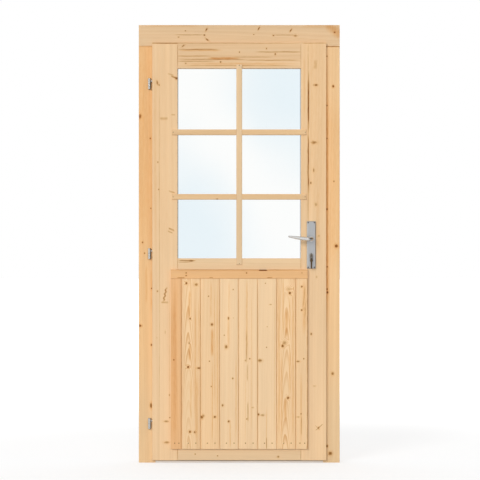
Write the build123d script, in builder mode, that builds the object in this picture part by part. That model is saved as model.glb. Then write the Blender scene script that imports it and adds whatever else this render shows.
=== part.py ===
"""A garden-house door of spruce: frame, glazed leaf, drill-in hinges, mortise lock and lever handles.

X runs along the width, hinges at the low end; Y runs from the outside to the inside; Z is up.
The origin is the middle of the sill's underside. All lengths are millimetres.
"""
import os
from math import hypot

from build123d import *

os.makedirs("parts", exist_ok=True)

# Clearances shared by all pieces
overrun = 1.0           # how far a cut runs past the face it breaks
joinery_fit = 0.1       # wood in wood, screws and nails in their holes
turning_fit = 0.05      # round bearings
sliding_fit = 0.3       # bolts in their openings

# Frame timber
frame_width = 900.0
frame_height = 1960.0
frame_depth = 70.0
jamb_face = 75.0
head_face = 95.0
stop_width = 15.0       # how far the stop stands into the doorway
stop_gap = 2.0          # air between the closed leaf and the stop
groove_width = 30.0     # groove for the edge of the wall boards
groove_depth = 15.0
arris = 1.2             # broken edges of all timber

# Sill and its metal cover
sill_height = 8.0
sill_upstand = 24.0
cover_thickness = 2.0
cover_screw_inset = 120.0
cover_screw_length = 6.0

# Screws
frame_screw_radius = 3.0
frame_screw_head = 5.5
frame_screw_length = 150.0
frame_screw_spacing = 28.0
sill_screw_height = 14.0
wood_screw_radius = 1.75
wood_screw_head = 3.4
wood_screw_length = 24.0
sink_angle = 90.0

# Leaf timber
leaf_thickness = 42.0
lip_thickness = 15.0    # part of the leaf that lies in front of the frame
lip_gap = 1.0
leaf_lap = 14.0         # how far the lip covers the frame
leaf_gap = 3.0          # air around the leaf in the rebate
leaf_height_over_floor = 12.0
stile_width = 113.0
top_rail_height = 115.0
middle_rail_height = 115.0
middle_rail_reveal = 50.0   # middle rail that shows over the lower panel
bottom_rail_height = 115.0
tenon_length = 45.0
tenon_thickness = 14.0
tenon_shoulder = 14.0
middle_tenon_height = 50.0

# Glazing
glass_thickness = 4.0
glass_setback = 14.0    # wood in front of the glass
glazing_rebate = 10.0
glass_edge_gap = 2.0
bead_depth = 16.0
bead_round = 4.0

# Glazing bars
bar_width = 26.0
cross_bar_height = 25.0
bar_proud = 5.0
bar_chamfer = 2.0
cross_bar_lap = 24.0
upright_lap_top = 18.0
upright_lap_bottom = 29.0
cross_bar_shares = (0.324, 0.664)
bar_nail_inset = 5.0

# Lower panel of tongue-and-groove boards
panel_lap = 29.0        # how far the panel covers the stiles
panel_bottom = 64.0
panel_top = 865.0
board_count = 8
end_board_shares = (0.553, 0.6235)
board_thickness = 12.5
vee_depth = 3.0
tongue_length = 6.0
tongue_thickness = 4.0
tongue_setback = 4.0    # back of the board to the tongue
seam_gap = 0.5
trim_height = 40.0
trim_thickness = 16.0
trim_slope = 3.0
trim_tuck = 10.0        # height of the rebate that covers the board ends
nail_radius = 0.9
nail_head_radius = 1.6
nail_head_depth = 0.8
nail_length = 30.0
nail_inset_bottom = 26.0
nail_inset_top = 5.0
nail_shares = (0.36, 0.76)

# Drill-in hinges
hinge_offset = 12.5     # leaf edge to the hinge axis
hinge_inset_top = 183.0
hinge_inset_bottom = 164.0
knuckle_radius = 7.0
knuckle_length = 24.0
knuckle_gap = 0.5
knuckle_chamfer = 1.0
pin_radius = 3.5
pin_length = 40.0
stem_radius = 3.5
leaf_stem_length = 40.0
frame_stem_length = 45.0

# Mortise lock
backset = 50.0
cylinder_drop = 72.0
faceplate_height = 235.0
faceplate_width = 20.0
faceplate_thickness = 3.0
faceplate_screw_inset = 10.0
case_depth = 80.0
case_height = 165.0
case_rise = 52.0        # lever axis to the top of the case
case_over_tenon = 24.0  # tenon of the middle rail to the foot of the case
case_thickness = 15.0
case_wall = 1.5
pocket_gap = 0.5
spindle_size = 8.0
spindle_hole_radius = 11.0
follower_radius = 11.0
follower_thickness = 9.0
hub_radius = 8.0
arm_length = 18.0
arm_width = 6.0
arm_thickness = 6.0
latch_height = 16.0
latch_thickness = 11.0
latch_throw = 11.0
latch_head_length = 27.0
latch_nose = 2.0        # blunt end of the bevelled latch
tail_height = 5.4
tail_gap = 0.4
tail_end = 8.0
lug_thickness = 4.0
lug_gap = 0.8
lug_depth = 7.0
spring_thickness = 0.6
spring_width = 6.0
spring_tip = 5.0
bolt_height = 24.0
bolt_thickness = 11.0
bolt_length = 60.0
bolt_throw = 14.0
bolt_drop = 36.0        # lever axis to the middle of the dead bolt

# Strike plate
strike_height = 115.0
strike_width = 24.0
strike_thickness = 2.0
strike_hole_gap = 1.5
strike_screw_inset = 8.0
keep_depth_gap = 3.0    # room behind a fully thrown bolt

# Profile cylinder and keys
cylinder_radius = 8.5
cylinder_height = 33.0
cylinder_web = 10.0
cylinder_proud = 2.5
cylinder_hole_gap = 0.5
plug_radius = 6.5
cam_reach = 14.5
cam_hub_radius = 7.5
cam_width = 6.0
cam_thickness = 10.0
cam_gap = 0.3
cam_angle = 30.0
cylinder_screw_radius = 2.5
cylinder_screw_head = 4.5
key_thickness = 2.2
blade_width = 7.5
blade_length = 26.0
blade_tip = 2.5
bow_radius = 9.0
bow_hole_radius = 3.0
bow_hole_offset = 4.5
bow_standoff = 3.0
ring_radius = 7.0
ring_wire = 0.9
hang_gap = 0.4
spare_key_turn = 35.0

# Long plates and levers
plate_width = 40.0
plate_height = 212.0
plate_over_panel = 4.0  # lower panel to the foot of the plate
plate_thickness = 8.0
plate_corner = 4.0
plate_edge = 3.0
plate_screw_spread = 27.0
plate_screw_inset = 6.0
neck_radius = 8.5
neck_gap = 0.4
collar_radius = 11.5
collar_thickness = 3.0
lever_projection = 46.0
lever_reach = 101.0
lever_rise = 12.0
elbow_radius = 16.0
grip_round = 1.5
socket_depth = 24.0
# Places along the grip with the height, the depth and the rise there
grip_shares = (
    (0.0, 1.0, 1.0, 0.0),
    (0.3, 0.93, 0.85, 0.24),
    (0.65, 0.72, 0.68, 0.6),
    (1.0, 0.42, 0.5, 1.0),
)

# Places worked out from the sizes above: frame
half_width = frame_width / 2
front = -frame_depth / 2
back = frame_depth / 2
rebate_x = half_width - jamb_face
stop_x = rebate_x - stop_width
head_z = frame_height - head_face
groove_x = half_width - groove_depth
groove_z = frame_height - groove_depth

# Places worked out from the sizes above: leaf
lip_back = front - lip_gap
leaf_front = lip_back - lip_thickness
leaf_back = leaf_front + leaf_thickness
leaf_middle = (leaf_front + leaf_back) / 2
stop_y = leaf_back + stop_gap
body_x = rebate_x - leaf_gap
lip_x = rebate_x + leaf_lap
sight_x = lip_x - stile_width
leaf_bottom = leaf_height_over_floor
body_top = head_z - leaf_gap
lip_top = head_z + leaf_lap
middle_rail_top = panel_top + middle_rail_reveal
sight_top = lip_top - top_rail_height
sight_bottom = middle_rail_top
sight_height = sight_top - sight_bottom
tenon_y = (lip_back + leaf_back) / 2
top_tenon = (sight_top + glazing_rebate + tenon_shoulder, body_top - tenon_shoulder)
middle_tenon_low = middle_rail_top - middle_rail_height + tenon_shoulder
middle_tenon = (middle_tenon_low, middle_tenon_low + middle_tenon_height)
bottom_tenon = (leaf_bottom + tenon_shoulder, leaf_bottom + bottom_rail_height - tenon_shoulder)
glass_front = leaf_front + glass_setback
glass_back = glass_front + glass_thickness
bar_front = leaf_front - bar_proud
lap_plane = (bar_front + glass_front) / 2
cross_bar_heights = [sight_bottom + share * sight_height for share in cross_bar_shares]
cross_bars = dict(zip(("muntin_lower", "muntin_upper"), cross_bar_heights))
panel_width = 2 * (sight_x + panel_lap)
board_front = leaf_front - board_thickness
board_top = panel_top - trim_height + trim_tuck - joinery_fit
trim_front = leaf_front - trim_thickness

# Places worked out from the sizes above: hinges, lock and handle
hinge_x = -lip_x - hinge_offset
hinge_y = (leaf_front + lip_back) / 2
hinge_top = lip_top - hinge_inset_top
hinge_bottom = leaf_bottom + hinge_inset_bottom
hinges = {"top": hinge_top, "middle": (hinge_top + hinge_bottom) / 2, "bottom": hinge_bottom}
spindle_x = body_x - backset
lock_y = (lip_back + leaf_back) / 2
case_front = body_x - faceplate_thickness
case_back = case_front - case_depth
case_bottom = middle_tenon[1] + case_over_tenon
case_top = case_bottom + case_height
lever_height = case_top - case_rise
case_middle = (case_top + case_bottom) / 2
cover_y = lock_y + case_thickness / 2 - case_wall
tail_bottom = lever_height + hypot(arm_length, arm_width / 2) + tail_gap
latch_top = tail_bottom + tail_height
latch_bottom = latch_top - latch_height
latch_tip = body_x + latch_throw
latch_heel = latch_tip - latch_throw - latch_head_length
lug_face = spindle_x - arm_width / 2 - lug_gap
tail_tip = lug_face - lug_thickness - tail_end
bolt_z = lever_height - bolt_drop
cylinder_z = lever_height - cylinder_drop
plate_z = panel_top + plate_over_panel + plate_height / 2
plate_front = leaf_front - plate_thickness
plate_back = leaf_back + plate_thickness
cylinder_front = plate_front - cylinder_proud
cylinder_back = plate_back + cylinder_proud
cam_front = lock_y - cam_thickness / 2
cam_back = lock_y + cam_thickness / 2
cam_sweep = hypot(cam_reach, cam_width / 2) + cam_gap
cylinder_screw_z = cylinder_z - (cam_sweep + cylinder_height - cylinder_radius) / 2
strike_z = (latch_top + latch_bottom + 2 * bolt_z) / 4

# Board edges along the panel, and where the nails go in
whole_boards = board_count - len(end_board_shares)
board_cover = panel_width / (whole_boards + sum(end_board_shares))
first_seam = end_board_shares[0] * board_cover - panel_width / 2
board_seams = [first_seam + step * board_cover for step in range(whole_boards + 1)]
board_edges = [-panel_width / 2, *board_seams, panel_width / 2]
board_spans = list(zip(board_edges, board_edges[1:]))
nail_columns = [low + share * (high - low) for low, high in board_spans for share in nail_shares]
bottom_nail_z = panel_bottom + nail_inset_bottom
top_nail_z = board_top - nail_inset_top
from_base = (Align.CENTER, Align.CENTER, Align.MIN)


def save(piece, name):
    """Label a finished piece and write it to its own file."""
    piece.part.label = name
    export_step(piece.part, f"parts/{name}.step")


def block(x_span, y_span, z_span, mode=Mode.ADD):
    """A rectangular block between two corners, in the active part."""
    spans = (x_span, y_span, z_span)
    with Locations(tuple((low + high) / 2 for low, high in spans)):
        Box(*(high - low for low, high in spans), mode=mode)


def rod(start, direction, radius, length, mode=Mode.ADD):
    """A round rod from a point along a direction, in the active part."""
    with Locations(Plane(origin=start, z_dir=direction)):
        Cylinder(radius, length, align=from_base, mode=mode)


def outside_plane(x, y, z):
    """A plane that faces the outside of the door; its axes are X and Z."""
    return Plane(origin=(x, y, z), x_dir=(1, 0, 0), z_dir=(0, -1, 0))


def inside_plane(x, y, z):
    """A plane that faces the inside of the door."""
    return Plane(origin=(x, y, z), x_dir=(-1, 0, 0), z_dir=(0, 1, 0))


def lock_edge_plane(x, y, z):
    """A plane that faces along +X, as the lock edge of the leaf does."""
    return Plane(origin=(x, y, z), x_dir=(0, 1, 0), z_dir=(1, 0, 0))


def countersunk_screw(head_radius, radius, length):
    """A screw below the XY plane whose flat head lies in it."""
    with BuildPart() as screw:
        with BuildSketch(Plane.XZ):
            Polygon(
                (0, 0), (head_radius, 0), (radius, radius - head_radius), (radius, -length), (0, -length),
                align=None,
            )
        revolve(axis=Axis.Z)
    return screw.part


def screw_hole(head_radius, radius, length):
    """The countersunk hole for such a screw, at the active locations."""
    CounterSinkHole(
        radius + joinery_fit,
        head_radius + joinery_fit,
        depth=length + overrun,
        counter_sink_angle=sink_angle,
    )


def nail_hole(depth):
    """The hole of a nail whose head lies flush, at the active locations."""
    CounterBoreHole(nail_radius + joinery_fit, nail_head_radius + joinery_fit, nail_head_depth, depth)


def profile_cylinder(grow):
    """The round-and-web outline of the lock cylinder, in the active sketch."""
    web = cylinder_web + 2 * grow
    drop = cylinder_height - cylinder_radius - cylinder_web / 2
    Circle(cylinder_radius + grow)
    with Locations((0, -drop / 2)):
        Rectangle(web, drop)
    with Locations((0, -drop)):
        Circle(web / 2)


def key_blank():
    """A flat key with its bow hole at the origin, its blade along -Z and its faces across X."""
    bow_z = -bow_hole_offset
    shoulder = bow_z - bow_radius - bow_standoff
    tip = shoulder - blade_length
    with BuildPart() as blank:
        with BuildSketch(Plane.YZ.offset(-key_thickness / 2)):
            with Locations((0, bow_z)):
                Circle(bow_radius)
            Polygon(
                (-blade_width / 2, bow_z), (-blade_width / 2, tip + blade_tip), (0, tip),
                (blade_width / 2, tip + blade_tip), (blade_width / 2, bow_z),
                align=None,
            )
            Circle(bow_hole_radius, mode=Mode.SUBTRACT)
        extrude(amount=key_thickness)
    return blank.part


# Places of the screws, shared by the screws and their holes
frame_screw_hole = frame_screw_radius + joinery_fit
wood_screw_hole = wood_screw_radius + joinery_fit
nail_shank_hole = nail_radius + joinery_fit
head_screw_spots = []
for side in (-1, 1):
    for step in (-1, 1):
        head_screw_x = side * (half_width + rebate_x) / 2 + step * frame_screw_spacing / 2
        head_screw_spots.append(Plane(origin=(head_screw_x, 0, groove_z), z_dir=(0, 0, 1)))
sill_screw_y = (stop_y + groove_width / 2) / 2
sill_screw_spots = [
    Plane(origin=(side * groove_x, sill_screw_y, sill_screw_height), z_dir=(side, 0, 0)) for side in (-1, 1)
]
cover_top = sill_height + cover_thickness
cover_screw_y = (front + stop_y) / 2
cover_screw_x = rebate_x - cover_screw_inset
cover_screw_spots = [(x, cover_screw_y, cover_top) for x in (-cover_screw_x, 0, cover_screw_x)]
strike_face = Plane(origin=(rebate_x, lock_y, strike_z), x_dir=(0, 1, 0), z_dir=(-1, 0, 0))
strike_screw_step = strike_height / 2 - strike_screw_inset
strike_screw_spots = [
    Plane(origin=(rebate_x, lock_y, strike_z + step * strike_screw_step), z_dir=(-1, 0, 0))
    for step in (-1, 1)
]
plate_screw_places = [
    (spindle_x + side * plate_screw_spread / 2, plate_z + step * (plate_height / 2 - plate_screw_inset))
    for side in (-1, 1)
    for step in (-1, 1)
]
outer_screw_spots = [outside_plane(x, plate_front, z) for x, z in plate_screw_places]
inner_screw_spots = [inside_plane(x, plate_back, z) for x, z in plate_screw_places]
faceplate_screw_spots = [
    lock_edge_plane(body_x, lock_y, case_middle + step * (faceplate_height / 2 - faceplate_screw_inset))
    for step in (-1, 1)
]
bottom_nail_spots = [outside_plane(x, board_front, bottom_nail_z) for x in nail_columns]
top_nail_spots = [outside_plane(x, board_front, top_nail_z) for x in nail_columns]
board_nail_spots = bottom_nail_spots + top_nail_spots
bar_nail_x = sight_x + cross_bar_lap - bar_nail_inset
cross_bar_nail_spots = {
    name: [outside_plane(x, bar_front, height) for x in (-bar_nail_x, bar_nail_x)]
    for name, height in cross_bars.items()
}
upright_nail_spots = [
    outside_plane(0, bar_front, sight_top + upright_lap_top - bar_nail_inset),
    outside_plane(0, bar_front, sight_bottom - upright_lap_bottom + bar_nail_inset),
]
bar_nail_spots = upright_nail_spots + [spot for spots in cross_bar_nail_spots.values() for spot in spots]


def jamb_outline(side):
    """The section of a jamb: front face, rebate, stop, back and the groove for the wall."""
    outline = (
        (half_width, front), (rebate_x, front), (rebate_x, stop_y), (stop_x, stop_y), (stop_x, back),
        (half_width, back), (half_width, groove_width / 2), (groove_x, groove_width / 2),
        (groove_x, -groove_width / 2), (half_width, -groove_width / 2),
    )
    return [(side * x, y) for x, y in outline]


def jamb_screw_holes():
    """Holes for the long screws through the head and into the sill."""
    for spot in head_screw_spots:
        rod(spot.origin, (0, 0, -1), frame_screw_hole, frame_screw_length + overrun, Mode.SUBTRACT)
    with Locations(*sill_screw_spots):
        screw_hole(frame_screw_head, frame_screw_radius, frame_screw_length)


# Hinge jamb, with the holes for the hinge stems
with BuildPart() as hinge_jamb:
    with BuildSketch():
        Polygon(*jamb_outline(-1), align=None)
    extrude(amount=head_z)
    chamfer(hinge_jamb.edges().filter_by(Axis.Z).group_by(Axis.Y)[0], arris)
    chamfer(hinge_jamb.edges().filter_by(Axis.Z).group_by(Axis.Y)[-1], arris)
    jamb_screw_holes()
    for hinge_z in hinges.values():
        stem_z = hinge_z - (knuckle_length + knuckle_gap) / 2
        stem_end = frame_stem_length + overrun
        rod((hinge_x, front, stem_z), (0, 1, 0), stem_radius + joinery_fit, stem_end, Mode.SUBTRACT)
save(hinge_jamb, "frame_hinge_jamb")

# Lock jamb, with the seat of the strike plate and the keeps for latch and bolt
with BuildPart() as lock_jamb:
    with BuildSketch():
        Polygon(*jamb_outline(1), align=None)
    extrude(amount=head_z)
    chamfer(lock_jamb.edges().filter_by(Axis.Z).group_by(Axis.Y)[0], arris)
    chamfer(lock_jamb.edges().filter_by(Axis.Z).group_by(Axis.Y)[-1], arris)
    jamb_screw_holes()
    with BuildSketch(strike_face):
        RectangleRounded(strike_width, strike_height, strike_screw_inset)
    extrude(amount=-strike_thickness, mode=Mode.SUBTRACT)
    latch_keep = (rebate_x, latch_tip + keep_depth_gap)
    bolt_keep = (rebate_x, body_x + bolt_throw + keep_depth_gap)
    keep_gap = strike_hole_gap
    keep_y = (lock_y - latch_thickness / 2 - keep_gap, lock_y + latch_thickness / 2 + keep_gap)
    block(latch_keep, keep_y, (latch_bottom - keep_gap, latch_top + keep_gap), Mode.SUBTRACT)
    bolt_keep_z = (bolt_z - bolt_height / 2 - keep_gap, bolt_z + bolt_height / 2 + keep_gap)
    block(bolt_keep, keep_y, bolt_keep_z, Mode.SUBTRACT)
    with Locations(*strike_screw_spots):
        screw_hole(wood_screw_head, wood_screw_radius, wood_screw_length)
save(lock_jamb, "frame_lock_jamb")

# Head over both jambs, with its own stop between theirs
with BuildPart() as head:
    with BuildSketch(Plane.YZ.offset(-half_width)):
        Polygon(
            (front, head_z), (back, head_z), (back, frame_height), (groove_width / 2, frame_height),
            (groove_width / 2, groove_z), (-groove_width / 2, groove_z), (-groove_width / 2, frame_height),
            (front, frame_height),
            align=None,
        )
    extrude(amount=frame_width)
    chamfer(head.edges().filter_by(Axis.X).group_by(Axis.Y)[0], arris)
    block((-stop_x, stop_x), (stop_y, back), (head_z - stop_width, head_z))
    for side in (-1, 1):
        end_groove = sorted((side * groove_x, side * (half_width + overrun)))
        groove_y = (-groove_width / 2, groove_width / 2)
        block(end_groove, groove_y, (head_z, frame_height), Mode.SUBTRACT)
    with Locations(*head_screw_spots):
        screw_hole(frame_screw_head, frame_screw_radius, frame_screw_length)
save(head, "frame_head")

# Long screws of the frame's corners
with BuildPart() as frame_screws:
    with Locations(*head_screw_spots, *sill_screw_spots):
        add(countersunk_screw(frame_screw_head, frame_screw_radius, frame_screw_length))
save(frame_screws, "frame_screws")

# Wooden sill, notched at its ends around the stops of the jambs
with BuildPart() as sill:
    with BuildSketch(Plane.YZ.offset(-rebate_x)):
        Polygon(
            (front, 0), (back, 0), (back, sill_upstand), (stop_y, sill_upstand), (stop_y, sill_height),
            (front, sill_height),
            align=None,
        )
    extrude(amount=2 * rebate_x)
    chamfer(sill.edges().filter_by(Axis.X).group_by(Axis.Z)[-1], arris)
    for side in (-1, 1):
        notch = sorted((side * stop_x, side * (rebate_x + overrun)))
        block(notch, (stop_y, back + overrun), (-overrun, sill_upstand + overrun), Mode.SUBTRACT)
    for spot in sill_screw_spots:
        rod(spot.origin, -spot.z_dir, frame_screw_hole, frame_screw_length + overrun, Mode.SUBTRACT)
    for spot in cover_screw_spots:
        rod(spot, (0, 0, -1), wood_screw_hole, cover_screw_length + overrun, Mode.SUBTRACT)
save(sill, "sill")

# Metal cover folded over the front of the sill
with BuildPart() as sill_cover:
    with BuildSketch(Plane.YZ.offset(-rebate_x)):
        Polygon(
            (front - cover_thickness, 0), (front, 0), (front, sill_height), (stop_y, sill_height),
            (stop_y, cover_top), (front - cover_thickness, cover_top),
            align=None,
        )
    extrude(amount=2 * rebate_x)
    fillet(sill_cover.edges().filter_by(Axis.X).group_by(Axis.Y)[0].sort_by(Axis.Z)[-1], cover_thickness)
    with Locations(*cover_screw_spots):
        screw_hole(wood_screw_head, wood_screw_radius, cover_screw_length)
save(sill_cover, "sill_cover")

with BuildPart() as sill_cover_screws:
    with Locations(*cover_screw_spots):
        add(countersunk_screw(wood_screw_head, wood_screw_radius, cover_screw_length))
save(sill_cover_screws, "sill_cover_screws")

# Strike plate, flush in the rebate of the lock jamb
with BuildPart() as strike_plate:
    with BuildSketch(strike_face):
        RectangleRounded(strike_width, strike_height, strike_screw_inset)
    extrude(amount=-strike_thickness)
    strike_x = (rebate_x - overrun, rebate_x + strike_thickness + overrun)
    block(strike_x, keep_y, (latch_bottom - keep_gap, latch_top + keep_gap), Mode.SUBTRACT)
    block(strike_x, keep_y, bolt_keep_z, Mode.SUBTRACT)
    with Locations(*strike_screw_spots):
        screw_hole(wood_screw_head, wood_screw_radius, wood_screw_length)
save(strike_plate, "strike_plate")

with BuildPart() as strike_screws:
    with Locations(*strike_screw_spots):
        add(countersunk_screw(wood_screw_head, wood_screw_radius, wood_screw_length))
save(strike_screws, "strike_screws")

# Hinges: lower half with its stem in the jamb, upper half with its stem in the leaf
for name, hinge_z in hinges.items():
    lower_base = hinge_z - knuckle_gap / 2 - knuckle_length
    upper_base = hinge_z + knuckle_gap / 2
    with BuildPart() as frame_half:
        rod((hinge_x, hinge_y, lower_base), (0, 0, 1), knuckle_radius, knuckle_length)
        chamfer(frame_half.edges().filter_by(GeomType.CIRCLE).group_by(Axis.Z)[0], knuckle_chamfer)
        stem_end = front + frame_stem_length - hinge_y
        rod((hinge_x, hinge_y, lower_base + knuckle_length / 2), (0, 1, 0), stem_radius, stem_end)
        pin_base = (hinge_x, hinge_y, hinge_z - pin_length / 2)
        rod(pin_base, (0, 0, 1), pin_radius + turning_fit, pin_length, Mode.SUBTRACT)
    save(frame_half, f"hinge_{name}_frame_half")
    with BuildPart() as leaf_half:
        rod((hinge_x, hinge_y, upper_base), (0, 0, 1), knuckle_radius, knuckle_length)
        chamfer(leaf_half.edges().filter_by(GeomType.CIRCLE).group_by(Axis.Z)[-1], knuckle_chamfer)
        stem_end = hinge_offset + leaf_stem_length
        rod((hinge_x, hinge_y, upper_base + knuckle_length / 2), (1, 0, 0), stem_radius, stem_end)
        pin_base = (hinge_x, hinge_y, hinge_z - pin_length / 2)
        rod(pin_base, (0, 0, 1), pin_radius + turning_fit, pin_length + joinery_fit, Mode.SUBTRACT)
    save(leaf_half, f"hinge_{name}_leaf_half")

with BuildPart() as hinge_pins:
    for hinge_z in hinges.values():
        rod((hinge_x, hinge_y, hinge_z - pin_length / 2), (0, 0, 1), pin_radius, pin_length)
save(hinge_pins, "hinge_pins")


def stile_outline(side):
    """The section of a stile with the lip that laps over the jamb."""
    outline = (
        (sight_x, leaf_front), (lip_x, leaf_front), (lip_x, lip_back), (body_x, lip_back),
        (body_x, leaf_back), (sight_x, leaf_back),
    )
    return [(side * x, y) for x, y in outline]


def stile_cuts(side):
    """What both stiles have: the step under the head, glazing rebate, mortises and nail holes."""
    full_x = sorted((side * (sight_x - overrun), side * (lip_x + overrun)))
    block(full_x, (lip_back, leaf_back + overrun), (body_top, lip_top + overrun), Mode.SUBTRACT)
    rebate_span = sorted((side * (sight_x - overrun), side * (sight_x + glazing_rebate)))
    rebate_z = (sight_bottom - glazing_rebate, sight_top + glazing_rebate)
    block(rebate_span, (glass_front, leaf_back + overrun), rebate_z, Mode.SUBTRACT)
    mortise_x = sorted((side * (sight_x - overrun), side * (sight_x + tenon_length + overrun)))
    half_mortise = tenon_thickness / 2 + joinery_fit
    for low, high in (top_tenon, middle_tenon, bottom_tenon):
        mortise_z = (low - joinery_fit, high + joinery_fit)
        block(mortise_x, (tenon_y - half_mortise, tenon_y + half_mortise), mortise_z, Mode.SUBTRACT)
    for spot in bar_nail_spots + board_nail_spots:
        on_stile = side * spot.origin.X > sight_x
        if on_stile:
            rod(spot.origin, (0, 1, 0), nail_shank_hole, nail_length + overrun, Mode.SUBTRACT)


# Hinge stile, with the holes for the hinge stems
with BuildPart() as hinge_stile:
    with BuildSketch(Plane.XY.offset(leaf_bottom)):
        Polygon(*stile_outline(-1), align=None)
    extrude(amount=lip_top - leaf_bottom)
    chamfer(hinge_stile.edges().filter_by(Axis.Z).group_by(Axis.Y)[0], arris)
    stile_cuts(-1)
    for hinge_z in hinges.values():
        stem_z = hinge_z + (knuckle_length + knuckle_gap) / 2
        stem_end = leaf_stem_length + overrun
        rod((-lip_x, hinge_y, stem_z), (1, 0, 0), stem_radius + joinery_fit, stem_end, Mode.SUBTRACT)
save(hinge_stile, "hinge_stile")

# Lock stile, with the pocket of the lock and the holes of spindle, cylinder and screws
with BuildPart() as lock_stile:
    with BuildSketch(Plane.XY.offset(leaf_bottom)):
        Polygon(*stile_outline(1), align=None)
    extrude(amount=lip_top - leaf_bottom)
    chamfer(lock_stile.edges().filter_by(Axis.Z).group_by(Axis.Y)[0], arris)
    stile_cuts(1)
    half_pocket = case_thickness / 2 + pocket_gap
    pocket_y = (lock_y - half_pocket, lock_y + half_pocket)
    pocket_z = (case_bottom - pocket_gap, case_top + pocket_gap)
    block((case_back - pocket_gap, case_front), pocket_y, pocket_z, Mode.SUBTRACT)
    with BuildSketch(lock_edge_plane(body_x, lock_y, case_middle)):
        SlotOverall(faceplate_height, faceplate_width, rotation=90)
    extrude(amount=-faceplate_thickness, mode=Mode.SUBTRACT)
    spindle_start = (spindle_x, leaf_front, lever_height)
    rod(spindle_start, (0, 1, 0), spindle_hole_radius, leaf_thickness, Mode.SUBTRACT)
    with BuildSketch(outside_plane(spindle_x, leaf_back, cylinder_z)):
        profile_cylinder(cylinder_hole_gap)
    extrude(amount=leaf_thickness, mode=Mode.SUBTRACT)
    for spot in outer_screw_spots + inner_screw_spots + faceplate_screw_spots:
        rod(spot.origin, -spot.z_dir, wood_screw_hole, wood_screw_length + overrun, Mode.SUBTRACT)
save(lock_stile, "lock_stile")


def add_tenons(span):
    """Tenons at both ends of the active rail."""
    half_tenon = tenon_thickness / 2
    for side in (-1, 1):
        tenon_x = sorted((side * sight_x, side * (sight_x + tenon_length)))
        block(tenon_x, (tenon_y - half_tenon, tenon_y + half_tenon), span)


def rail_nail_holes(spots):
    """Holes that the nails leave in the active rail."""
    for spot in spots:
        rod(spot.origin, (0, 1, 0), nail_shank_hole, nail_length + overrun, Mode.SUBTRACT)


# Top rail, with the lip over the head and the glazing rebate below
with BuildPart() as top_rail:
    with BuildSketch(Plane.YZ.offset(-sight_x)):
        Polygon(
            (leaf_front, sight_top), (glass_front, sight_top), (glass_front, sight_top + glazing_rebate),
            (leaf_back, sight_top + glazing_rebate), (leaf_back, body_top), (lip_back, body_top),
            (lip_back, lip_top), (leaf_front, lip_top),
            align=None,
        )
    extrude(amount=2 * sight_x)
    chamfer(top_rail.edges().filter_by(Axis.X).group_by(Axis.Y)[0], arris)
    add_tenons(top_tenon)
    rail_nail_holes(upright_nail_spots[:1])
save(top_rail, "top_rail")

# Middle rail, with the glazing rebate above
with BuildPart() as middle_rail:
    middle_rail_bottom = middle_rail_top - middle_rail_height
    with BuildSketch(Plane.YZ.offset(-sight_x)):
        Polygon(
            (leaf_front, middle_rail_bottom), (leaf_back, middle_rail_bottom),
            (leaf_back, sight_bottom - glazing_rebate), (glass_front, sight_bottom - glazing_rebate),
            (glass_front, sight_bottom), (leaf_front, sight_bottom),
            align=None,
        )
    extrude(amount=2 * sight_x)
    chamfer(middle_rail.edges().filter_by(Axis.X).group_by(Axis.Y)[0], arris)
    add_tenons(middle_tenon)
    rail_nail_holes(upright_nail_spots[1:] + top_nail_spots)
save(middle_rail, "middle_rail")

# Bottom rail
with BuildPart() as bottom_rail:
    rail_z = (leaf_bottom, leaf_bottom + bottom_rail_height)
    block((-sight_x, sight_x), (leaf_front, leaf_back), rail_z)
    chamfer(bottom_rail.edges().filter_by(Axis.X).group_by(Axis.Y)[0], arris)
    add_tenons(bottom_tenon)
    rail_nail_holes(bottom_nail_spots)
save(bottom_rail, "bottom_rail")

# Glass pane
glass_margin = glazing_rebate - glass_edge_gap
with BuildPart() as glass_pane:
    with BuildSketch(outside_plane(0, glass_back, (sight_top + sight_bottom) / 2)):
        Rectangle(2 * (sight_x + glass_margin), sight_height + 2 * glass_margin)
    extrude(amount=glass_thickness)
save(glass_pane, "glass_pane")

# Glazing beads, mitred in the rebate behind the glass
outer_x = sight_x + glazing_rebate
outer_top = sight_top + glazing_rebate
outer_low = sight_bottom - glazing_rebate
bead_outlines = {
    "top": ((-outer_x, outer_top), (-sight_x, sight_top), (sight_x, sight_top), (outer_x, outer_top)),
    "bottom": (
        (-outer_x, outer_low), (outer_x, outer_low), (sight_x, sight_bottom), (-sight_x, sight_bottom)
    ),
    "left": ((-outer_x, outer_low), (-sight_x, sight_bottom), (-sight_x, sight_top), (-outer_x, outer_top)),
    "right": ((outer_x, outer_low), (outer_x, outer_top), (sight_x, sight_top), (sight_x, sight_bottom)),
}
for name, outline in bead_outlines.items():
    with BuildPart() as bead:
        with BuildSketch(outside_plane(0, glass_back + bead_depth, 0)):
            Polygon(*outline, align=None)
        extrude(amount=bead_depth)
        run = Axis.X if name in ("top", "bottom") else Axis.Z
        room_edges = bead.edges().group_by(Axis.Y)[-1].filter_by(run)
        fillet(room_edges.sort_by(SortBy.LENGTH)[0], bead_round)
    save(bead, f"glazing_bead_{name}")

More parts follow.
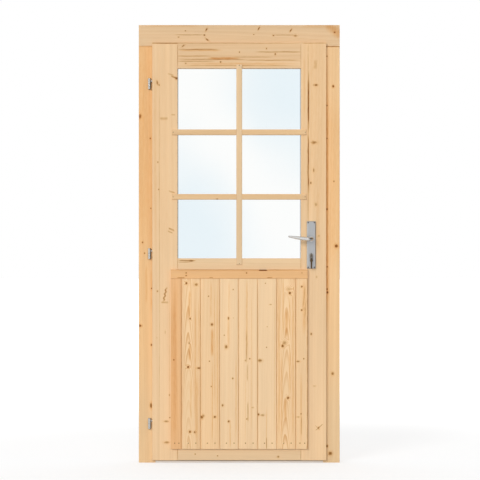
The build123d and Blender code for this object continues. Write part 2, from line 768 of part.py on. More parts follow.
# Upright glazing bar: thick over the glass, thin where it laps the rails, halved at the crossings
with BuildPart() as upright:
    with BuildSketch(Plane.YZ.offset(-bar_width / 2)):
        Polygon(
            (bar_front, sight_bottom - upright_lap_bottom), (leaf_front, sight_bottom - upright_lap_bottom),
            (leaf_front, sight_bottom), (glass_front, sight_bottom), (glass_front, sight_top),
            (leaf_front, sight_top), (leaf_front, sight_top + upright_lap_top),
            (bar_front, sight_top + upright_lap_top),
            align=None,
        )
    extrude(amount=bar_width)
    chamfer(upright.edges().group_by(Axis.Y)[0], bar_chamfer)
    for height in cross_bars.values():
        cross_z = (height - cross_bar_height / 2, height + cross_bar_height / 2)
        block((-bar_width, bar_width), (lap_plane, glass_front + overrun), cross_z, Mode.SUBTRACT)
    with Locations(*upright_nail_spots):
        nail_hole(nail_length)
save(upright, "muntin_upright")

# Cross bars, halved from the front to let the upright through
for name, height in cross_bars.items():
    with BuildPart() as cross_bar:
        with BuildSketch(Plane.XY.offset(height - cross_bar_height / 2)):
            Polygon(
                (-sight_x - cross_bar_lap, bar_front), (sight_x + cross_bar_lap, bar_front),
                (sight_x + cross_bar_lap, leaf_front), (sight_x, leaf_front), (sight_x, glass_front),
                (-sight_x, glass_front), (-sight_x, leaf_front), (-sight_x - cross_bar_lap, leaf_front),
                align=None,
            )
        extrude(amount=cross_bar_height)
        chamfer(cross_bar.edges().group_by(Axis.Y)[0], bar_chamfer)
        half_bar = bar_width / 2
        cross_z = (height - cross_bar_height, height + cross_bar_height)
        block((-half_bar, half_bar), (bar_front - overrun, lap_plane), cross_z, Mode.SUBTRACT)
        with Locations(*cross_bar_nail_spots[name]):
            nail_hole(nail_length)
    save(cross_bar, name)


def board_outline(low, high, first, last):
    """The section of a board: a groove at its low edge, a tongue at its high edge, vees in front."""
    left = low if first else low + seam_gap / 2
    right = high if last else high - seam_gap / 2
    tongue_back = leaf_front - tongue_setback
    tongue_front = tongue_back - tongue_thickness
    groove_end = left + tongue_length + seam_gap + joinery_fit
    outline = [(left, leaf_front), (right, leaf_front)]
    if last:
        outline += [(right, board_front)]
    else:
        outline += [
            (right, tongue_back), (right + tongue_length, tongue_back),
            (right + tongue_length, tongue_front), (right, tongue_front),
            (right, board_front + vee_depth), (right - vee_depth, board_front),
        ]
    if first:
        outline += [(left, board_front)]
    else:
        outline += [
            (left + vee_depth, board_front), (left, board_front + vee_depth),
            (left, tongue_front - joinery_fit), (groove_end, tongue_front - joinery_fit),
            (groove_end, tongue_back + joinery_fit), (left, tongue_back + joinery_fit),
        ]
    return outline


# Boards of the lower panel
for number, (low, high) in enumerate(board_spans, start=1):
    with BuildPart() as board:
        with BuildSketch(Plane.XY.offset(panel_bottom)):
            Polygon(*board_outline(low, high, number == 1, number == len(board_spans)), align=None)
        extrude(amount=board_top - panel_bottom)
        with Locations(*(spot for spot in board_nail_spots if low < spot.origin.X < high)):
            nail_hole(nail_length)
    save(board, f"panel_board_{number}")

# Drip trim over the upper ends of the boards
with BuildPart() as panel_trim:
    trim_bottom = panel_top - trim_height
    with BuildSketch(Plane.YZ.offset(-panel_width / 2)):
        Polygon(
            (leaf_front, panel_top), (trim_front, panel_top - trim_slope), (trim_front, trim_bottom),
            (board_front - joinery_fit, trim_bottom), (board_front - joinery_fit, trim_bottom + trim_tuck),
            (leaf_front, trim_bottom + trim_tuck),
            align=None,
        )
    extrude(amount=panel_width)
    chamfer(panel_trim.edges().filter_by(Axis.X).group_by(Axis.Y)[0], arris)
save(panel_trim, "panel_trim")

# Nails of the boards and of the glazing bars, all alike
with BuildPart() as nails:
    for spot in board_nail_spots + bar_nail_spots:
        rod(spot.origin, (0, 1, 0), nail_head_radius, nail_head_depth)
        rod(spot.origin, (0, 1, 0), nail_radius, nail_length)
save(nails, "nails")

# Case of the mortise lock: a tray open towards the faceplate and the cover
case_y = (lock_y - case_thickness / 2, cover_y)
with BuildPart() as lock_case:
    block((case_back, case_front), case_y, (case_bottom, case_top))
    cavity_x = (case_back + case_wall, case_front + overrun)
    cavity_y = (case_y[0] + case_wall, cover_y + overrun)
    block(cavity_x, cavity_y, (case_bottom + case_wall, case_top - case_wall), Mode.SUBTRACT)
    hub_start = (spindle_x, case_y[0], lever_height)
    rod(hub_start, (0, 1, 0), hub_radius + turning_fit, case_thickness, Mode.SUBTRACT)
    with BuildSketch(outside_plane(spindle_x, cover_y, cylinder_z)):
        profile_cylinder(turning_fit)
    extrude(amount=case_thickness, mode=Mode.SUBTRACT)
save(lock_case, "lock_case")

with BuildPart() as lock_cover:
    block((case_back, case_front), (cover_y, cover_y + case_wall), (case_bottom, case_top))
    rod((spindle_x, cover_y, lever_height), (0, 1, 0), hub_radius + turning_fit, case_wall, Mode.SUBTRACT)
    with BuildSketch(outside_plane(spindle_x, cover_y + case_wall, cylinder_z)):
        profile_cylinder(turning_fit)
    extrude(amount=case_wall, mode=Mode.SUBTRACT)
save(lock_cover, "lock_cover")

# Faceplate let into the edge of the leaf
with BuildPart() as faceplate:
    with BuildSketch(lock_edge_plane(body_x, lock_y, case_middle)):
        SlotOverall(faceplate_height, faceplate_width, rotation=90)
        with Locations((0, (latch_top + latch_bottom) / 2 - case_middle)):
            Rectangle(latch_thickness + 2 * sliding_fit, latch_height + 2 * sliding_fit, mode=Mode.SUBTRACT)
        with Locations((0, bolt_z - case_middle)):
            Rectangle(bolt_thickness + 2 * sliding_fit, bolt_height + 2 * sliding_fit, mode=Mode.SUBTRACT)
    extrude(amount=-faceplate_thickness)
    with Locations(*faceplate_screw_spots):
        screw_hole(wood_screw_head, wood_screw_radius, wood_screw_length)
    with Locations(lock_edge_plane(body_x, lock_y, cylinder_screw_z)):
        screw_hole(cylinder_screw_head, cylinder_screw_radius, backset)
save(faceplate, "lock_faceplate")

# Follower that turns with the spindle and pushes the latch back with its arm
with BuildPart() as follower:
    rod((spindle_x, lock_y - case_thickness / 2, lever_height), (0, 1, 0), hub_radius, case_thickness)
    disc_y = lock_y - follower_thickness / 2
    rod((spindle_x, disc_y, lever_height), (0, 1, 0), follower_radius, follower_thickness)
    arm_x = (spindle_x - arm_width / 2, spindle_x + arm_width / 2)
    arm_y = (lock_y - arm_thickness / 2, lock_y + arm_thickness / 2)
    block(arm_x, arm_y, (lever_height, lever_height + arm_length))
    half_socket = spindle_size / 2 + turning_fit
    socket_x = (spindle_x - half_socket, spindle_x + half_socket)
    socket_z = (lever_height - half_socket, lever_height + half_socket)
    block(socket_x, (lock_y - case_thickness, lock_y + case_thickness), socket_z, Mode.SUBTRACT)
save(follower, "lock_follower")

# Latch bolt: bevelled head, tail over the follower and the lug that the arm pushes
with BuildPart() as latch_bolt:
    latch_front = lock_y - latch_thickness / 2
    latch_rear = lock_y + latch_thickness / 2
    with BuildSketch(Plane.XY.offset(latch_bottom)):
        Polygon(
            (latch_heel, latch_front), (latch_tip, latch_front), (latch_tip, latch_front + latch_nose),
            (body_x, latch_rear), (latch_heel, latch_rear),
            align=None,
        )
    extrude(amount=latch_height)
    tail_y = (lock_y - arm_thickness / 2, lock_y + arm_thickness / 2)
    block((tail_tip, latch_heel), tail_y, (tail_bottom, latch_top))
    block((lug_face - lug_thickness, lug_face), tail_y, (tail_bottom - lug_depth, tail_bottom))
save(latch_bolt, "latch_bolt")

# Leaf spring behind the tail, bent from the back of the case
with BuildPart() as latch_spring:
    spring_back = case_back + case_wall + spring_thickness
    spring_touch = tail_tip - spring_thickness
    tail_middle = (tail_bottom + latch_top) / 2
    spring_root = case_top - case_wall - spring_tip
    with BuildSketch(outside_plane(0, lock_y + spring_width / 2, 0)):
        with BuildLine() as spring_line:
            Polyline(
                (spring_back, spring_root), (spring_back, spring_root - spring_tip),
                (spring_touch, tail_middle), (spring_touch - spring_tip, tail_middle - spring_tip),
            )
            offset(spring_line.line, spring_thickness, side=Side.LEFT)
        make_face()
    extrude(amount=spring_width)
save(latch_spring, "latch_spring")

# Dead bolt, drawn back flush with the faceplate
with BuildPart() as dead_bolt:
    bolt_y = (lock_y - bolt_thickness / 2, lock_y + bolt_thickness / 2)
    block((body_x - bolt_length, body_x), bolt_y, (bolt_z - bolt_height / 2, bolt_z + bolt_height / 2))
    chamfer(dead_bolt.faces().sort_by(Axis.X)[-1].edges(), arris)
save(dead_bolt, "dead_bolt")

# Body of the profile cylinder, cut away in the middle for the cam
with BuildPart() as cylinder_body:
    with BuildSketch(outside_plane(spindle_x, cylinder_back, cylinder_z)):
        profile_cylinder(0)
    extrude(amount=cylinder_back - cylinder_front)
    bore_start = (spindle_x, cylinder_front, cylinder_z)
    bore_length = cylinder_back - cylinder_front
    rod(bore_start, (0, 1, 0), plug_radius + turning_fit, bore_length, Mode.SUBTRACT)
    cam_start = (spindle_x, cam_front - cam_gap, cylinder_z)
    rod(cam_start, (0, 1, 0), cam_sweep, cam_thickness + 2 * cam_gap, Mode.SUBTRACT)
    screw_start = (body_x, lock_y, cylinder_screw_z)
    rod(screw_start, (-1, 0, 0), cylinder_screw_radius + joinery_fit, backset + cylinder_web, Mode.SUBTRACT)
save(cylinder_body, "cylinder_body")

with BuildPart() as cylinder_screw:
    with Locations(lock_edge_plane(body_x, lock_y, cylinder_screw_z)):
        add(countersunk_screw(cylinder_screw_head, cylinder_screw_radius, backset))
save(cylinder_screw, "cylinder_screw")

# Plugs: the outer one takes the key, the inner one stands still while the key turns
keyway_x = (spindle_x - key_thickness / 2 - turning_fit, spindle_x + key_thickness / 2 + turning_fit)
keyway_z = (cylinder_z - blade_width / 2 - turning_fit, cylinder_z + blade_width / 2 + turning_fit)
with BuildPart() as outer_plug:
    rod((spindle_x, cylinder_front, cylinder_z), (0, 1, 0), plug_radius, cam_front - cylinder_front)
    block(keyway_x, (cylinder_front - overrun, cam_front + overrun), keyway_z, Mode.SUBTRACT)
save(outer_plug, "cylinder_outer_plug")

with BuildPart() as inner_plug:
    plug_start = cam_back + cam_gap
    rod((spindle_x, plug_start, cylinder_z), (0, 1, 0), plug_radius, cylinder_back - plug_start)
    block(keyway_x, (cam_back, cylinder_back + overrun), keyway_z, Mode.SUBTRACT)
save(inner_plug, "cylinder_inner_plug")

with BuildPart() as cam:
    with BuildSketch(outside_plane(spindle_x, cam_back, cylinder_z)):
        Circle(cam_hub_radius)
        with Locations(Location((0, 0), -cam_angle)):
            with Locations((0, -cam_reach / 2)):
                Rectangle(cam_width, cam_reach)
    extrude(amount=cam_thickness)
save(cam, "cylinder_cam")

# Key in the plug, ring in its bow and spare key on the ring
bow_hole_y = cylinder_front - bow_standoff - bow_radius - bow_hole_offset
ring_z = cylinder_z - bow_hole_radius + ring_wire + hang_gap - ring_radius
spare_hole_z = ring_z - ring_radius + ring_wire + hang_gap - bow_hole_radius
with BuildPart() as key:
    with Locations(Location((spindle_x, bow_hole_y, cylinder_z), (90, 0, 0))):
        add(key_blank())
save(key, "key")

with BuildPart() as key_ring:
    with Locations(Location((spindle_x, bow_hole_y, ring_z), (90, 0, 0))):
        Torus(ring_radius, ring_wire)
save(key_ring, "key_ring")

with BuildPart() as spare_key:
    with Locations(Location((spindle_x, bow_hole_y, spare_hole_z), (0, 0, spare_key_turn))):
        add(key_blank())
save(spare_key, "spare_key")

# Long plates on both faces of the leaf
with BuildPart() as outer_plate:
    with BuildSketch(outside_plane(spindle_x, leaf_front, plate_z)):
        RectangleRounded(plate_width, plate_height, plate_corner)
    extrude(amount=plate_thickness)
    fillet(outer_plate.faces().sort_by(Axis.Y)[0].edges(), plate_edge)
    neck_hole = (spindle_x, plate_front, lever_height)
    rod(neck_hole, (0, 1, 0), neck_radius + neck_gap, plate_thickness, Mode.SUBTRACT)
    with BuildSketch(outside_plane(spindle_x, leaf_front, cylinder_z)):
        profile_cylinder(joinery_fit)
    extrude(amount=plate_thickness, mode=Mode.SUBTRACT)
    with Locations(*outer_screw_spots):
        screw_hole(wood_screw_head, wood_screw_radius, wood_screw_length)
save(outer_plate, "outer_plate")

leaf_mid_plane = Plane(origin=(0, leaf_middle, 0), z_dir=(0, 1, 0))
with BuildPart() as inner_plate:
    mirror(outer_plate.part, about=leaf_mid_plane)
save(inner_plate, "inner_plate")

# Wood screws of both plates and of the faceplate, all alike
with BuildPart() as lock_screws:
    with Locations(*outer_screw_spots, *inner_screw_spots, *faceplate_screw_spots):
        add(countersunk_screw(wood_screw_head, wood_screw_radius, wood_screw_length))
save(lock_screws, "lock_screws")

# Lever: neck and collar on the plate, elbow, and a grip that thins and rises towards its tip
with BuildPart() as outer_lever:
    grip_y = plate_front - lever_projection
    neck_end = grip_y + elbow_radius
    elbow_x = spindle_x - elbow_radius
    neck_base = leaf_front - joinery_fit
    rod((spindle_x, plate_front - neck_gap, lever_height), (0, -1, 0), collar_radius, collar_thickness)
    fillet(outer_lever.edges().filter_by(GeomType.CIRCLE).sort_by(Axis.Y)[0], arris)
    rod((spindle_x, neck_base, lever_height), (0, -1, 0), neck_radius, neck_base - neck_end)
    with BuildSketch(outside_plane(spindle_x, neck_end, lever_height)):
        Circle(neck_radius)
    revolve(axis=Axis((elbow_x, neck_end, lever_height), (0, 0, -1)), revolution_arc=90)
    for place, height_share, depth_share, rise_share in grip_shares:
        grip_x = elbow_x + place * (spindle_x - lever_reach - elbow_x)
        grip_point = (grip_x, grip_y, lever_height + rise_share * lever_rise)
        with BuildSketch(Plane(origin=grip_point, x_dir=(0, 0, 1), z_dir=(-1, 0, 0))):
            Ellipse(height_share * neck_radius, depth_share * neck_radius)
    loft()
    chamfer(outer_lever.faces().sort_by(Axis.X)[0].edges(), grip_round)
    socket_y = (plate_front - socket_depth, leaf_front)
    block(socket_x, socket_y, socket_z, Mode.SUBTRACT)
save(outer_lever, "outer_lever")

with BuildPart() as inner_lever:
    mirror(outer_lever.part, about=leaf_mid_plane)
save(inner_lever, "inner_lever")

# Square spindle through both levers and the follower
with BuildPart() as spindle:
    half_spindle = spindle_size / 2
    half_length = leaf_thickness / 2 + plate_thickness + socket_depth - neck_gap
    spindle_y = (leaf_middle - half_length, leaf_middle + half_length)
    spindle_z = (lever_height - half_spindle, lever_height + half_spindle)
    block((spindle_x - half_spindle, spindle_x + half_spindle), spindle_y, spindle_z)
save(spindle, "spindle")
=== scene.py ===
"""The looks of a garden-house door: raw spruce, glass, satin metal, and a plain white studio.

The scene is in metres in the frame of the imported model: X along the width, Y to the inside, Z up.
Knots, streaks and stains are placed in millimetres.
"""

from collections import namedtuple
from math import pi, radians

import bpy
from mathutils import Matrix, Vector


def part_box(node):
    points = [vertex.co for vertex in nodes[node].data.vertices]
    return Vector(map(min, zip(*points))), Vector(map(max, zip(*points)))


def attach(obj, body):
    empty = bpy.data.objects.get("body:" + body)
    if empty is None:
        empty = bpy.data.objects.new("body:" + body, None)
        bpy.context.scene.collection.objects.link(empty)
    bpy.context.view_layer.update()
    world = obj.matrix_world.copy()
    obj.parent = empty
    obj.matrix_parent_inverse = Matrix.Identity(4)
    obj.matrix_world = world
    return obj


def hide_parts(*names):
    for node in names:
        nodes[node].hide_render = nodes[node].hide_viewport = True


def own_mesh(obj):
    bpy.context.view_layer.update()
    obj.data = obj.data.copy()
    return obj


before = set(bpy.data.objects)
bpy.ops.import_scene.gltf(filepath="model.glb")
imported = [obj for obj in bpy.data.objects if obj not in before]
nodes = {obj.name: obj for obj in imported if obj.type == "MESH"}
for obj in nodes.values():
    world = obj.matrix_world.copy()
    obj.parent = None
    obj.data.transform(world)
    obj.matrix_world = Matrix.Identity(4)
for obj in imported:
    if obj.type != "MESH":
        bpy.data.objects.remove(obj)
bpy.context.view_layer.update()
MM = 0.001


def linear(red, green, blue):
    """A colour written in 0 to 255 as the renderer's linear values."""
    shares = [value / 255 for value in (red, green, blue)]
    return [s / 12.92 if s < 0.04045 else ((s + 0.055) / 1.055) ** 2.4 for s in shares] + [1.0]


class Graph:
    """A node tree that grows by short calls. A value is a socket or a constant."""

    def __init__(self, tree):
        self.tree = tree

    def feed(self, socket, value):
        if isinstance(value, bpy.types.NodeSocket):
            self.tree.links.new(value, socket)
        else:
            socket.default_value = value

    def add(self, kind, values=None, **settings):
        node = self.tree.nodes.new(kind)
        for name, value in settings.items():
            setattr(node, name, value)
        for key, value in (values or {}).items():
            self.feed(node.inputs[key], value)
        return node

    def group(self, tree, values):
        return self.add("ShaderNodeGroup", values, node_tree=tree).outputs

    def math(self, operation, first, second=0.0, third=0.0):
        return self.add("ShaderNodeMath", {0: first, 1: second, 2: third}, operation=operation).outputs[0]

    def split(self, vector):
        return self.add("ShaderNodeSeparateXYZ", {0: vector}).outputs

    def combine(self, x, y, z):
        return self.add("ShaderNodeCombineXYZ", {0: x, 1: y, 2: z}).outputs[0]

    def vector(self, operation, first, second):
        return self.add("ShaderNodeVectorMath", {0: first, 1: second}, operation=operation).outputs[0]

    def scaled(self, vector, factor):
        node = self.add("ShaderNodeVectorMath", {0: vector, "Scale": factor}, operation="SCALE")
        return node.outputs[0]

    def noise(self, vector, stretch, detail=1.0):
        stretched = self.vector("MULTIPLY", vector, stretch)
        return self.add("ShaderNodeTexNoise", {"Vector": stretched, "Scale": 1.0, "Detail": detail})

    def smooth(self, value, low, high):
        values = {"Value": value, "From Min": low, "From Max": high}
        return self.add("ShaderNodeMapRange", values, interpolation_type="SMOOTHSTEP").outputs[0]

    def fade(self, value, low, high):
        return self.math("SUBTRACT", 1.0, self.smooth(value, low, high))

    def length(self, first, second):
        squares = self.math("MULTIPLY_ADD", first, first, self.math("POWER", second, 2.0))
        return self.math("SQRT", squares)

    def blend(self, share, first, second):
        node = self.add("ShaderNodeMix", data_type="RGBA")
        for index, value in ((0, share), (6, first), (7, second)):
            self.feed(node.inputs[index], value)
        return node.outputs[2]


def new_group(name, inputs, outputs):
    """A node group with named sockets: its tree, its graph, its input and output sockets."""
    tree = bpy.data.node_groups.new(name, "ShaderNodeTree")
    for socket_name, kind in inputs.items():
        tree.interface.new_socket(socket_name, in_out="INPUT", socket_type="NodeSocket" + kind)
    for socket_name in outputs:
        tree.interface.new_socket(socket_name, in_out="OUTPUT", socket_type="NodeSocketFloat")
    start = tree.nodes.new("NodeGroupInput").outputs
    end = tree.nodes.new("NodeGroupOutput").inputs
    return tree, Graph(tree), start, end


def make_growth_group():
    """Growth rings round a pith line. A place is across, in the depth of and along the piece."""
    wander_stretch, wander_size = (4.0, 4.0, 0.8), 0.03
    ripple_stretch, ripple_size = (70.0, 70.0, 5.0), 0.0012
    fibre_stretch = (1300.0, 1300.0, 22.0)
    tone_stretch = (16.0, 16.0, 1.3)
    year_change, weakest_year = 0.23, 0.2
    inputs = {"Place": "Vector", "Pith": "Vector", "Ring": "Float", "Taper": "Float", "Bend": "Float"}
    tree, graph, start, end = new_group("growth", inputs, ("Late", "Fibre", "Tone"))
    local = graph.vector("SUBTRACT", start["Place"], start["Pith"])
    slow = graph.noise(local, wander_stretch, 2.0).outputs["Color"]
    wander = graph.scaled(graph.vector("SUBTRACT", slow, (0.5, 0.5, 0.5)), wander_size)
    across, depth, along = graph.split(graph.vector("ADD", local, wander))
    radius = graph.math("ADD", graph.length(across, depth), start["Bend"])
    radius = graph.math("MULTIPLY_ADD", along, start["Taper"], radius)
    ripple = graph.noise(local, ripple_stretch).outputs["Fac"]
    radius = graph.math("MULTIPLY_ADD", ripple, ripple_size, radius)
    rings = graph.math("DIVIDE", radius, start["Ring"])
    year = graph.math("FRACT", rings)
    # Late wood builds up through the year and ends sharply, and some years are stronger
    late = graph.math("MULTIPLY", graph.smooth(year, 0.3, 0.9), graph.fade(year, 0.92, 1.0))
    year_values = {"W": rings, "Scale": year_change, "Detail": 2.0}
    years = graph.add("ShaderNodeTexNoise", year_values, noise_dimensions="1D").outputs["Fac"]
    strength = graph.math("MULTIPLY_ADD", graph.smooth(years, 0.3, 0.7), 1 - weakest_year, weakest_year)
    graph.feed(end["Late"], graph.math("MULTIPLY", late, strength))
    graph.feed(end["Fibre"], graph.noise(local, fibre_stretch, 2.0).outputs["Fac"])
    graph.feed(end["Tone"], graph.noise(local, tone_stretch, 2.0).outputs["Fac"])
    return tree


def make_knot_group():
    """One knot. It adds its core, its stained surround and the bend of the rings to those before it."""
    branch_shear = -0.25        # along the grain per depth, so that a knot slants as it goes in
    rough_stretch, rough_size = (220.0, 220.0, 160.0), 0.9
    ring_rate, ring_depth, ring_bend = 7.0, 0.2, 1.2
    core_edge, halo_edge, bend_edge = (0.5, 1.3), (0.6, 2.8), (0.0, 3.4)    # in radii
    inputs = {"Place": "Vector", "Centre": "Vector", "Radius": "Float", "Stretch": "Float", "Slant": "Float",
              "Dark": "Float", "Core": "Float", "Halo": "Float", "Bend": "Float"}
    tree, graph, start, end = new_group("knot", inputs, ("Core", "Halo", "Bend"))
    across, depth, along = graph.split(graph.vector("SUBTRACT", start["Place"], start["Centre"]))
    along = graph.math("MULTIPLY_ADD", depth, branch_shear, along)
    along = graph.math("MULTIPLY_ADD", across, start["Slant"], along)
    across = graph.math("DIVIDE", across, start["Radius"])
    along = graph.math("DIVIDE", along, graph.math("MULTIPLY", start["Radius"], start["Stretch"]))
    rough = graph.noise(start["Place"], rough_stretch, 2.0).outputs["Fac"]
    rough = graph.math("MULTIPLY_ADD", rough, rough_size, -rough_size / 2)
    away = graph.math("ADD", graph.length(across, along), rough)
    wave = graph.math("SINE", graph.math("MULTIPLY", away, ring_rate))
    rings = graph.math("MULTIPLY_ADD", wave, ring_depth, 1 - ring_depth)
    core = graph.math("MULTIPLY", graph.fade(away, *core_edge), rings)
    halo = graph.fade(away, *halo_edge)
    bend = graph.math("MULTIPLY", graph.fade(away, *bend_edge), start["Radius"])
    graph.feed(end["Core"], graph.math("MAXIMUM", start["Core"], graph.math("MULTIPLY", core, start["Dark"])))
    graph.feed(end["Halo"], graph.math("MAXIMUM", start["Halo"], graph.math("MULTIPLY", halo, start["Dark"])))
    graph.feed(end["Bend"], graph.math("MULTIPLY_ADD", bend, ring_bend, start["Bend"]))
    return tree


def make_streak_group():
    """One line along the grain, added to those before it. It can lean, wander or run in teeth."""
    drift_stretch = (0.0, 0.0, 11.0)
    tooth_height = 0.009
    tapered_share = 0.25        # of the length, at each end
    reach = 1.3                 # to each side, in widths
    fibre_stretch, fibre_edge = (420.0, 420.0, 35.0), (0.35, 0.65)
    fibre_depth, faintest = 0.7, 0.65
    inputs = {"Place": "Vector", "At": "Float", "Width": "Float", "Low": "Float", "High": "Float",
              "Wander": "Float", "Lean": "Float", "Teeth": "Float", "Dark": "Float", "Before": "Float"}
    tree, graph, start, end = new_group("streak", inputs, ("Dark",))
    place = graph.split(start["Place"])
    across, along = place["X"], place["Z"]
    run = graph.math("SUBTRACT", along, start["Low"])
    drift = graph.noise(start["Place"], drift_stretch, 2.0).outputs["Fac"]
    middle = graph.math("MULTIPLY_ADD", graph.math("SUBTRACT", drift, 0.5), start["Wander"], start["At"])
    middle = graph.math("MULTIPLY_ADD", run, start["Lean"], middle)
    saw = graph.math("DIVIDE", graph.math("PINGPONG", along, tooth_height), tooth_height)
    middle = graph.math("MULTIPLY_ADD", saw, start["Teeth"], middle)
    share = graph.math("DIVIDE", run, graph.math("SUBTRACT", start["High"], start["Low"]))
    low_end = graph.smooth(share, 0.0, tapered_share)
    high_end = graph.fade(share, 1 - tapered_share, 1.0)
    ends = graph.math("MULTIPLY", low_end, high_end)
    offset = graph.math("ABSOLUTE", graph.math("SUBTRACT", across, middle))
    away = graph.math("DIVIDE", offset, start["Width"])
    fibre = graph.smooth(graph.noise(start["Place"], fibre_stretch, 2.0).outputs["Fac"], *fibre_edge)
    strength = graph.math("MULTIPLY_ADD", fibre, fibre_depth, faintest)
    line = graph.math("MULTIPLY", graph.fade(away, 0.0, reach), strength)
    line = graph.math("MULTIPLY", graph.math("MULTIPLY", line, ends), start["Dark"])
    graph.feed(end["Dark"], graph.math("MAXIMUM", start["Before"], line))
    return tree


growth_group = make_growth_group()
knot_group = make_knot_group()
streak_group = make_streak_group()

# A knot in millimetres. stretch is its length along the grain for its width, slant its shear along the grain.
Knot = namedtuple("Knot", "x z radius stretch dark slant", defaults=(1.2, 0.8, 0.0))
# A line in millimetres along the grain between two ends, which fades out beside its middle within about its
# width. A turned one runs across the grain.
Streak = namedtuple("Streak", "at low high width dark wander lean teeth turned",
                    defaults=(2.0, 0.4, 4.0, 0.0, 0.0, False))


def joint(at, low, high, dark=0.4):
    """The fine dark line of a joint across the grain."""
    joint_width = 2.2
    return Streak(at, low, high, joint_width, dark, 0.0, turned=True)


# Colours of the spruce: early wood and late wood of each tint
tints = {
    "leaf": (linear(238, 204, 161), linear(212, 160, 106)),
    "low_rail": (linear(233, 202, 161), linear(206, 160, 110)),
    # The head and rail tints are a little darker than the leaf's: partly the wood's own tone, partly painted
    # shade for light that is dimmer at the top of the door
    "head": (linear(228, 195, 154), linear(196, 150, 100)),
    "rail": (linear(231, 197, 155), linear(204, 154, 100)),
    "hinge_jamb": (linear(241, 198, 145), linear(214, 154, 94)),
    "hinge_jamb_foot": (linear(235, 199, 152), linear(206, 156, 104)),
    "lock_jamb": (linear(242, 203, 153), linear(217, 163, 106)),
    "lock_jamb_foot": (linear(231, 199, 155), linear(204, 158, 108)),
    "board": (linear(242, 207, 162), linear(216, 160, 100)),
    "cool_board": (linear(242, 210, 168), linear(220, 170, 116)),
    "strip": (linear(236, 188, 136), linear(208, 150, 95)),
    "trim": (linear(236, 188, 134), linear(208, 148, 90)),
    "bar": (linear(229, 199, 159), linear(204, 158, 108)),
    "cross_bar": (linear(233, 197, 151), linear(204, 155, 102)),
}
# What knots and streaks, and stains, leave of the wood's colour at full depth
knot_ink = linear(97, 65, 26)
stain_ink = linear(226, 184, 136)


def new_material(name):
    """A material with an empty tree, its graph and its shader node."""
    material = bpy.data.materials.new(name)
    material.use_nodes = True
    material.node_tree.nodes.clear()
    graph = Graph(material.node_tree)
    shader = graph.add("ShaderNodeBsdfPrincipled")
    graph.add("ShaderNodeOutputMaterial", {"Surface": shader.outputs[0]})
    return material, graph, shader


def chain_knots(graph, place, front, upright, knots):
    """Cores, surrounds and ring bends of all knots of a piece."""
    core, halo, bend = 0.0, 0.0, 0.0
    for knot in knots:
        x, z = knot.x * MM, knot.z * MM
        values = {"Place": place, "Radius": knot.radius * MM, "Stretch": knot.stretch, "Slant": knot.slant,
                  "Dark": knot.dark, "Core": core, "Halo": halo, "Bend": bend,
                  "Centre": (x, front, z) if upright else (z, front, x)}
        core, halo, bend = graph.group(knot_group, values)
    return core, halo, bend


def chain_streaks(graph, place, turned_place, streaks):
    """Darkness of all streaks of a piece."""
    dark = 0.0
    for streak in streaks:
        values = {"Place": turned_place if streak.turned else place, "At": streak.at * MM,
                  "Width": streak.width * MM, "Low": streak.low * MM, "High": streak.high * MM,
                  "Wander": streak.wander * MM, "Lean": streak.lean, "Teeth": streak.teeth * MM,
                  "Dark": streak.dark, "Before": dark}
        dark = graph.group(streak_group, values)[0]
    return dark


def spruce(name, upright, tint, pith, foot=None, ring=2.4, taper=0.012, grain=0.6,
           glue=(), knots=(), streaks=(), stains=()):
    """Raw planed spruce with its own rings, glued strips, knots, streaks and stains.

    foot is a second tint, to which an upright piece turns near the ground.
    """
    strip_shift = (0.012, 0.0, 1.7)
    foot_low, foot_high = 0.15, 0.6
    tone_depth, fibre_depth, darkest = 0.24, 0.12, 0.82
    halo_stain, streak_stain, stain_depth = 0.35, 0.4, 0.75
    streak_depth, core_depth = 0.48, 0.75
    roughness, late_polish = 0.66, 0.12
    material, graph, shader = new_material(name)
    x, y, z = graph.split(graph.add("ShaderNodeTexCoord").outputs["Object"])
    places = [graph.combine(x, y, z), graph.combine(z, y, x)]
    place, turned_place = places if upright else places[::-1]
    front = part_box(name)[0].y
    core, halo, bend = chain_knots(graph, place, front, upright, knots)
    dark_line = chain_streaks(graph, place, turned_place, streaks)
    stain = chain_streaks(graph, place, turned_place, stains)

    # Each glued strip comes from another tree
    strip_place = place
    for glue_line in glue:
        step = graph.math("GREATER_THAN", x if upright else z, glue_line * MM)
        strip_place = graph.vector("ADD", strip_place, graph.scaled(strip_shift, step))
    growth = {"Place": strip_place, "Pith": [value * MM for value in pith], "Ring": ring * MM,
              "Taper": taper, "Bend": bend}
    late, fibre, tone = graph.group(growth_group, growth)

    early_colour, late_colour = tints[tint]
    if foot:
        low_share = graph.fade(z, foot_low, foot_high)
        early_colour = graph.blend(low_share, early_colour, tints[foot][0])
        late_colour = graph.blend(low_share, late_colour, tints[foot][1])
    colour = graph.blend(graph.math("MULTIPLY", late, grain), early_colour, late_colour)
    level = graph.math("MULTIPLY_ADD", tone, tone_depth, darkest)
    level = graph.math("MULTIPLY_ADD", fibre, fibre_depth, level)
    colour = graph.scaled(colour, level)

    # Dark wood takes light away as an ink does, so it stays brown
    stain = graph.math("MULTIPLY_ADD", halo, halo_stain, graph.math("MULTIPLY", stain, stain_depth))
    stain = graph.math("MULTIPLY_ADD", dark_line, streak_stain, stain)
    dark = graph.math("MULTIPLY", core, core_depth)
    dark = graph.math("MULTIPLY_ADD", dark_line, streak_depth, dark)
    for ink, depth in ((stain_ink, stain), (knot_ink, dark)):
        kept = graph.add("ShaderNodeGamma", {0: ink, 1: depth}).outputs[0]
        colour = graph.vector("MULTIPLY", colour, kept)
    graph.feed(shader.inputs["Base Color"], colour)
    graph.feed(shader.inputs["Roughness"], graph.math("MULTIPLY_ADD", late, -late_polish, roughness))
    shader.inputs["Specular IOR Level"].default_value = 0.25
    relief = graph.math("MULTIPLY_ADD", late, 0.5, graph.math("MULTIPLY", fibre, 0.5))
    bump = graph.add("ShaderNodeBump", {"Height": relief, "Strength": 0.35, "Distance": 0.0004})
    graph.feed(shader.inputs["Normal"], bump.outputs[0])
    return material


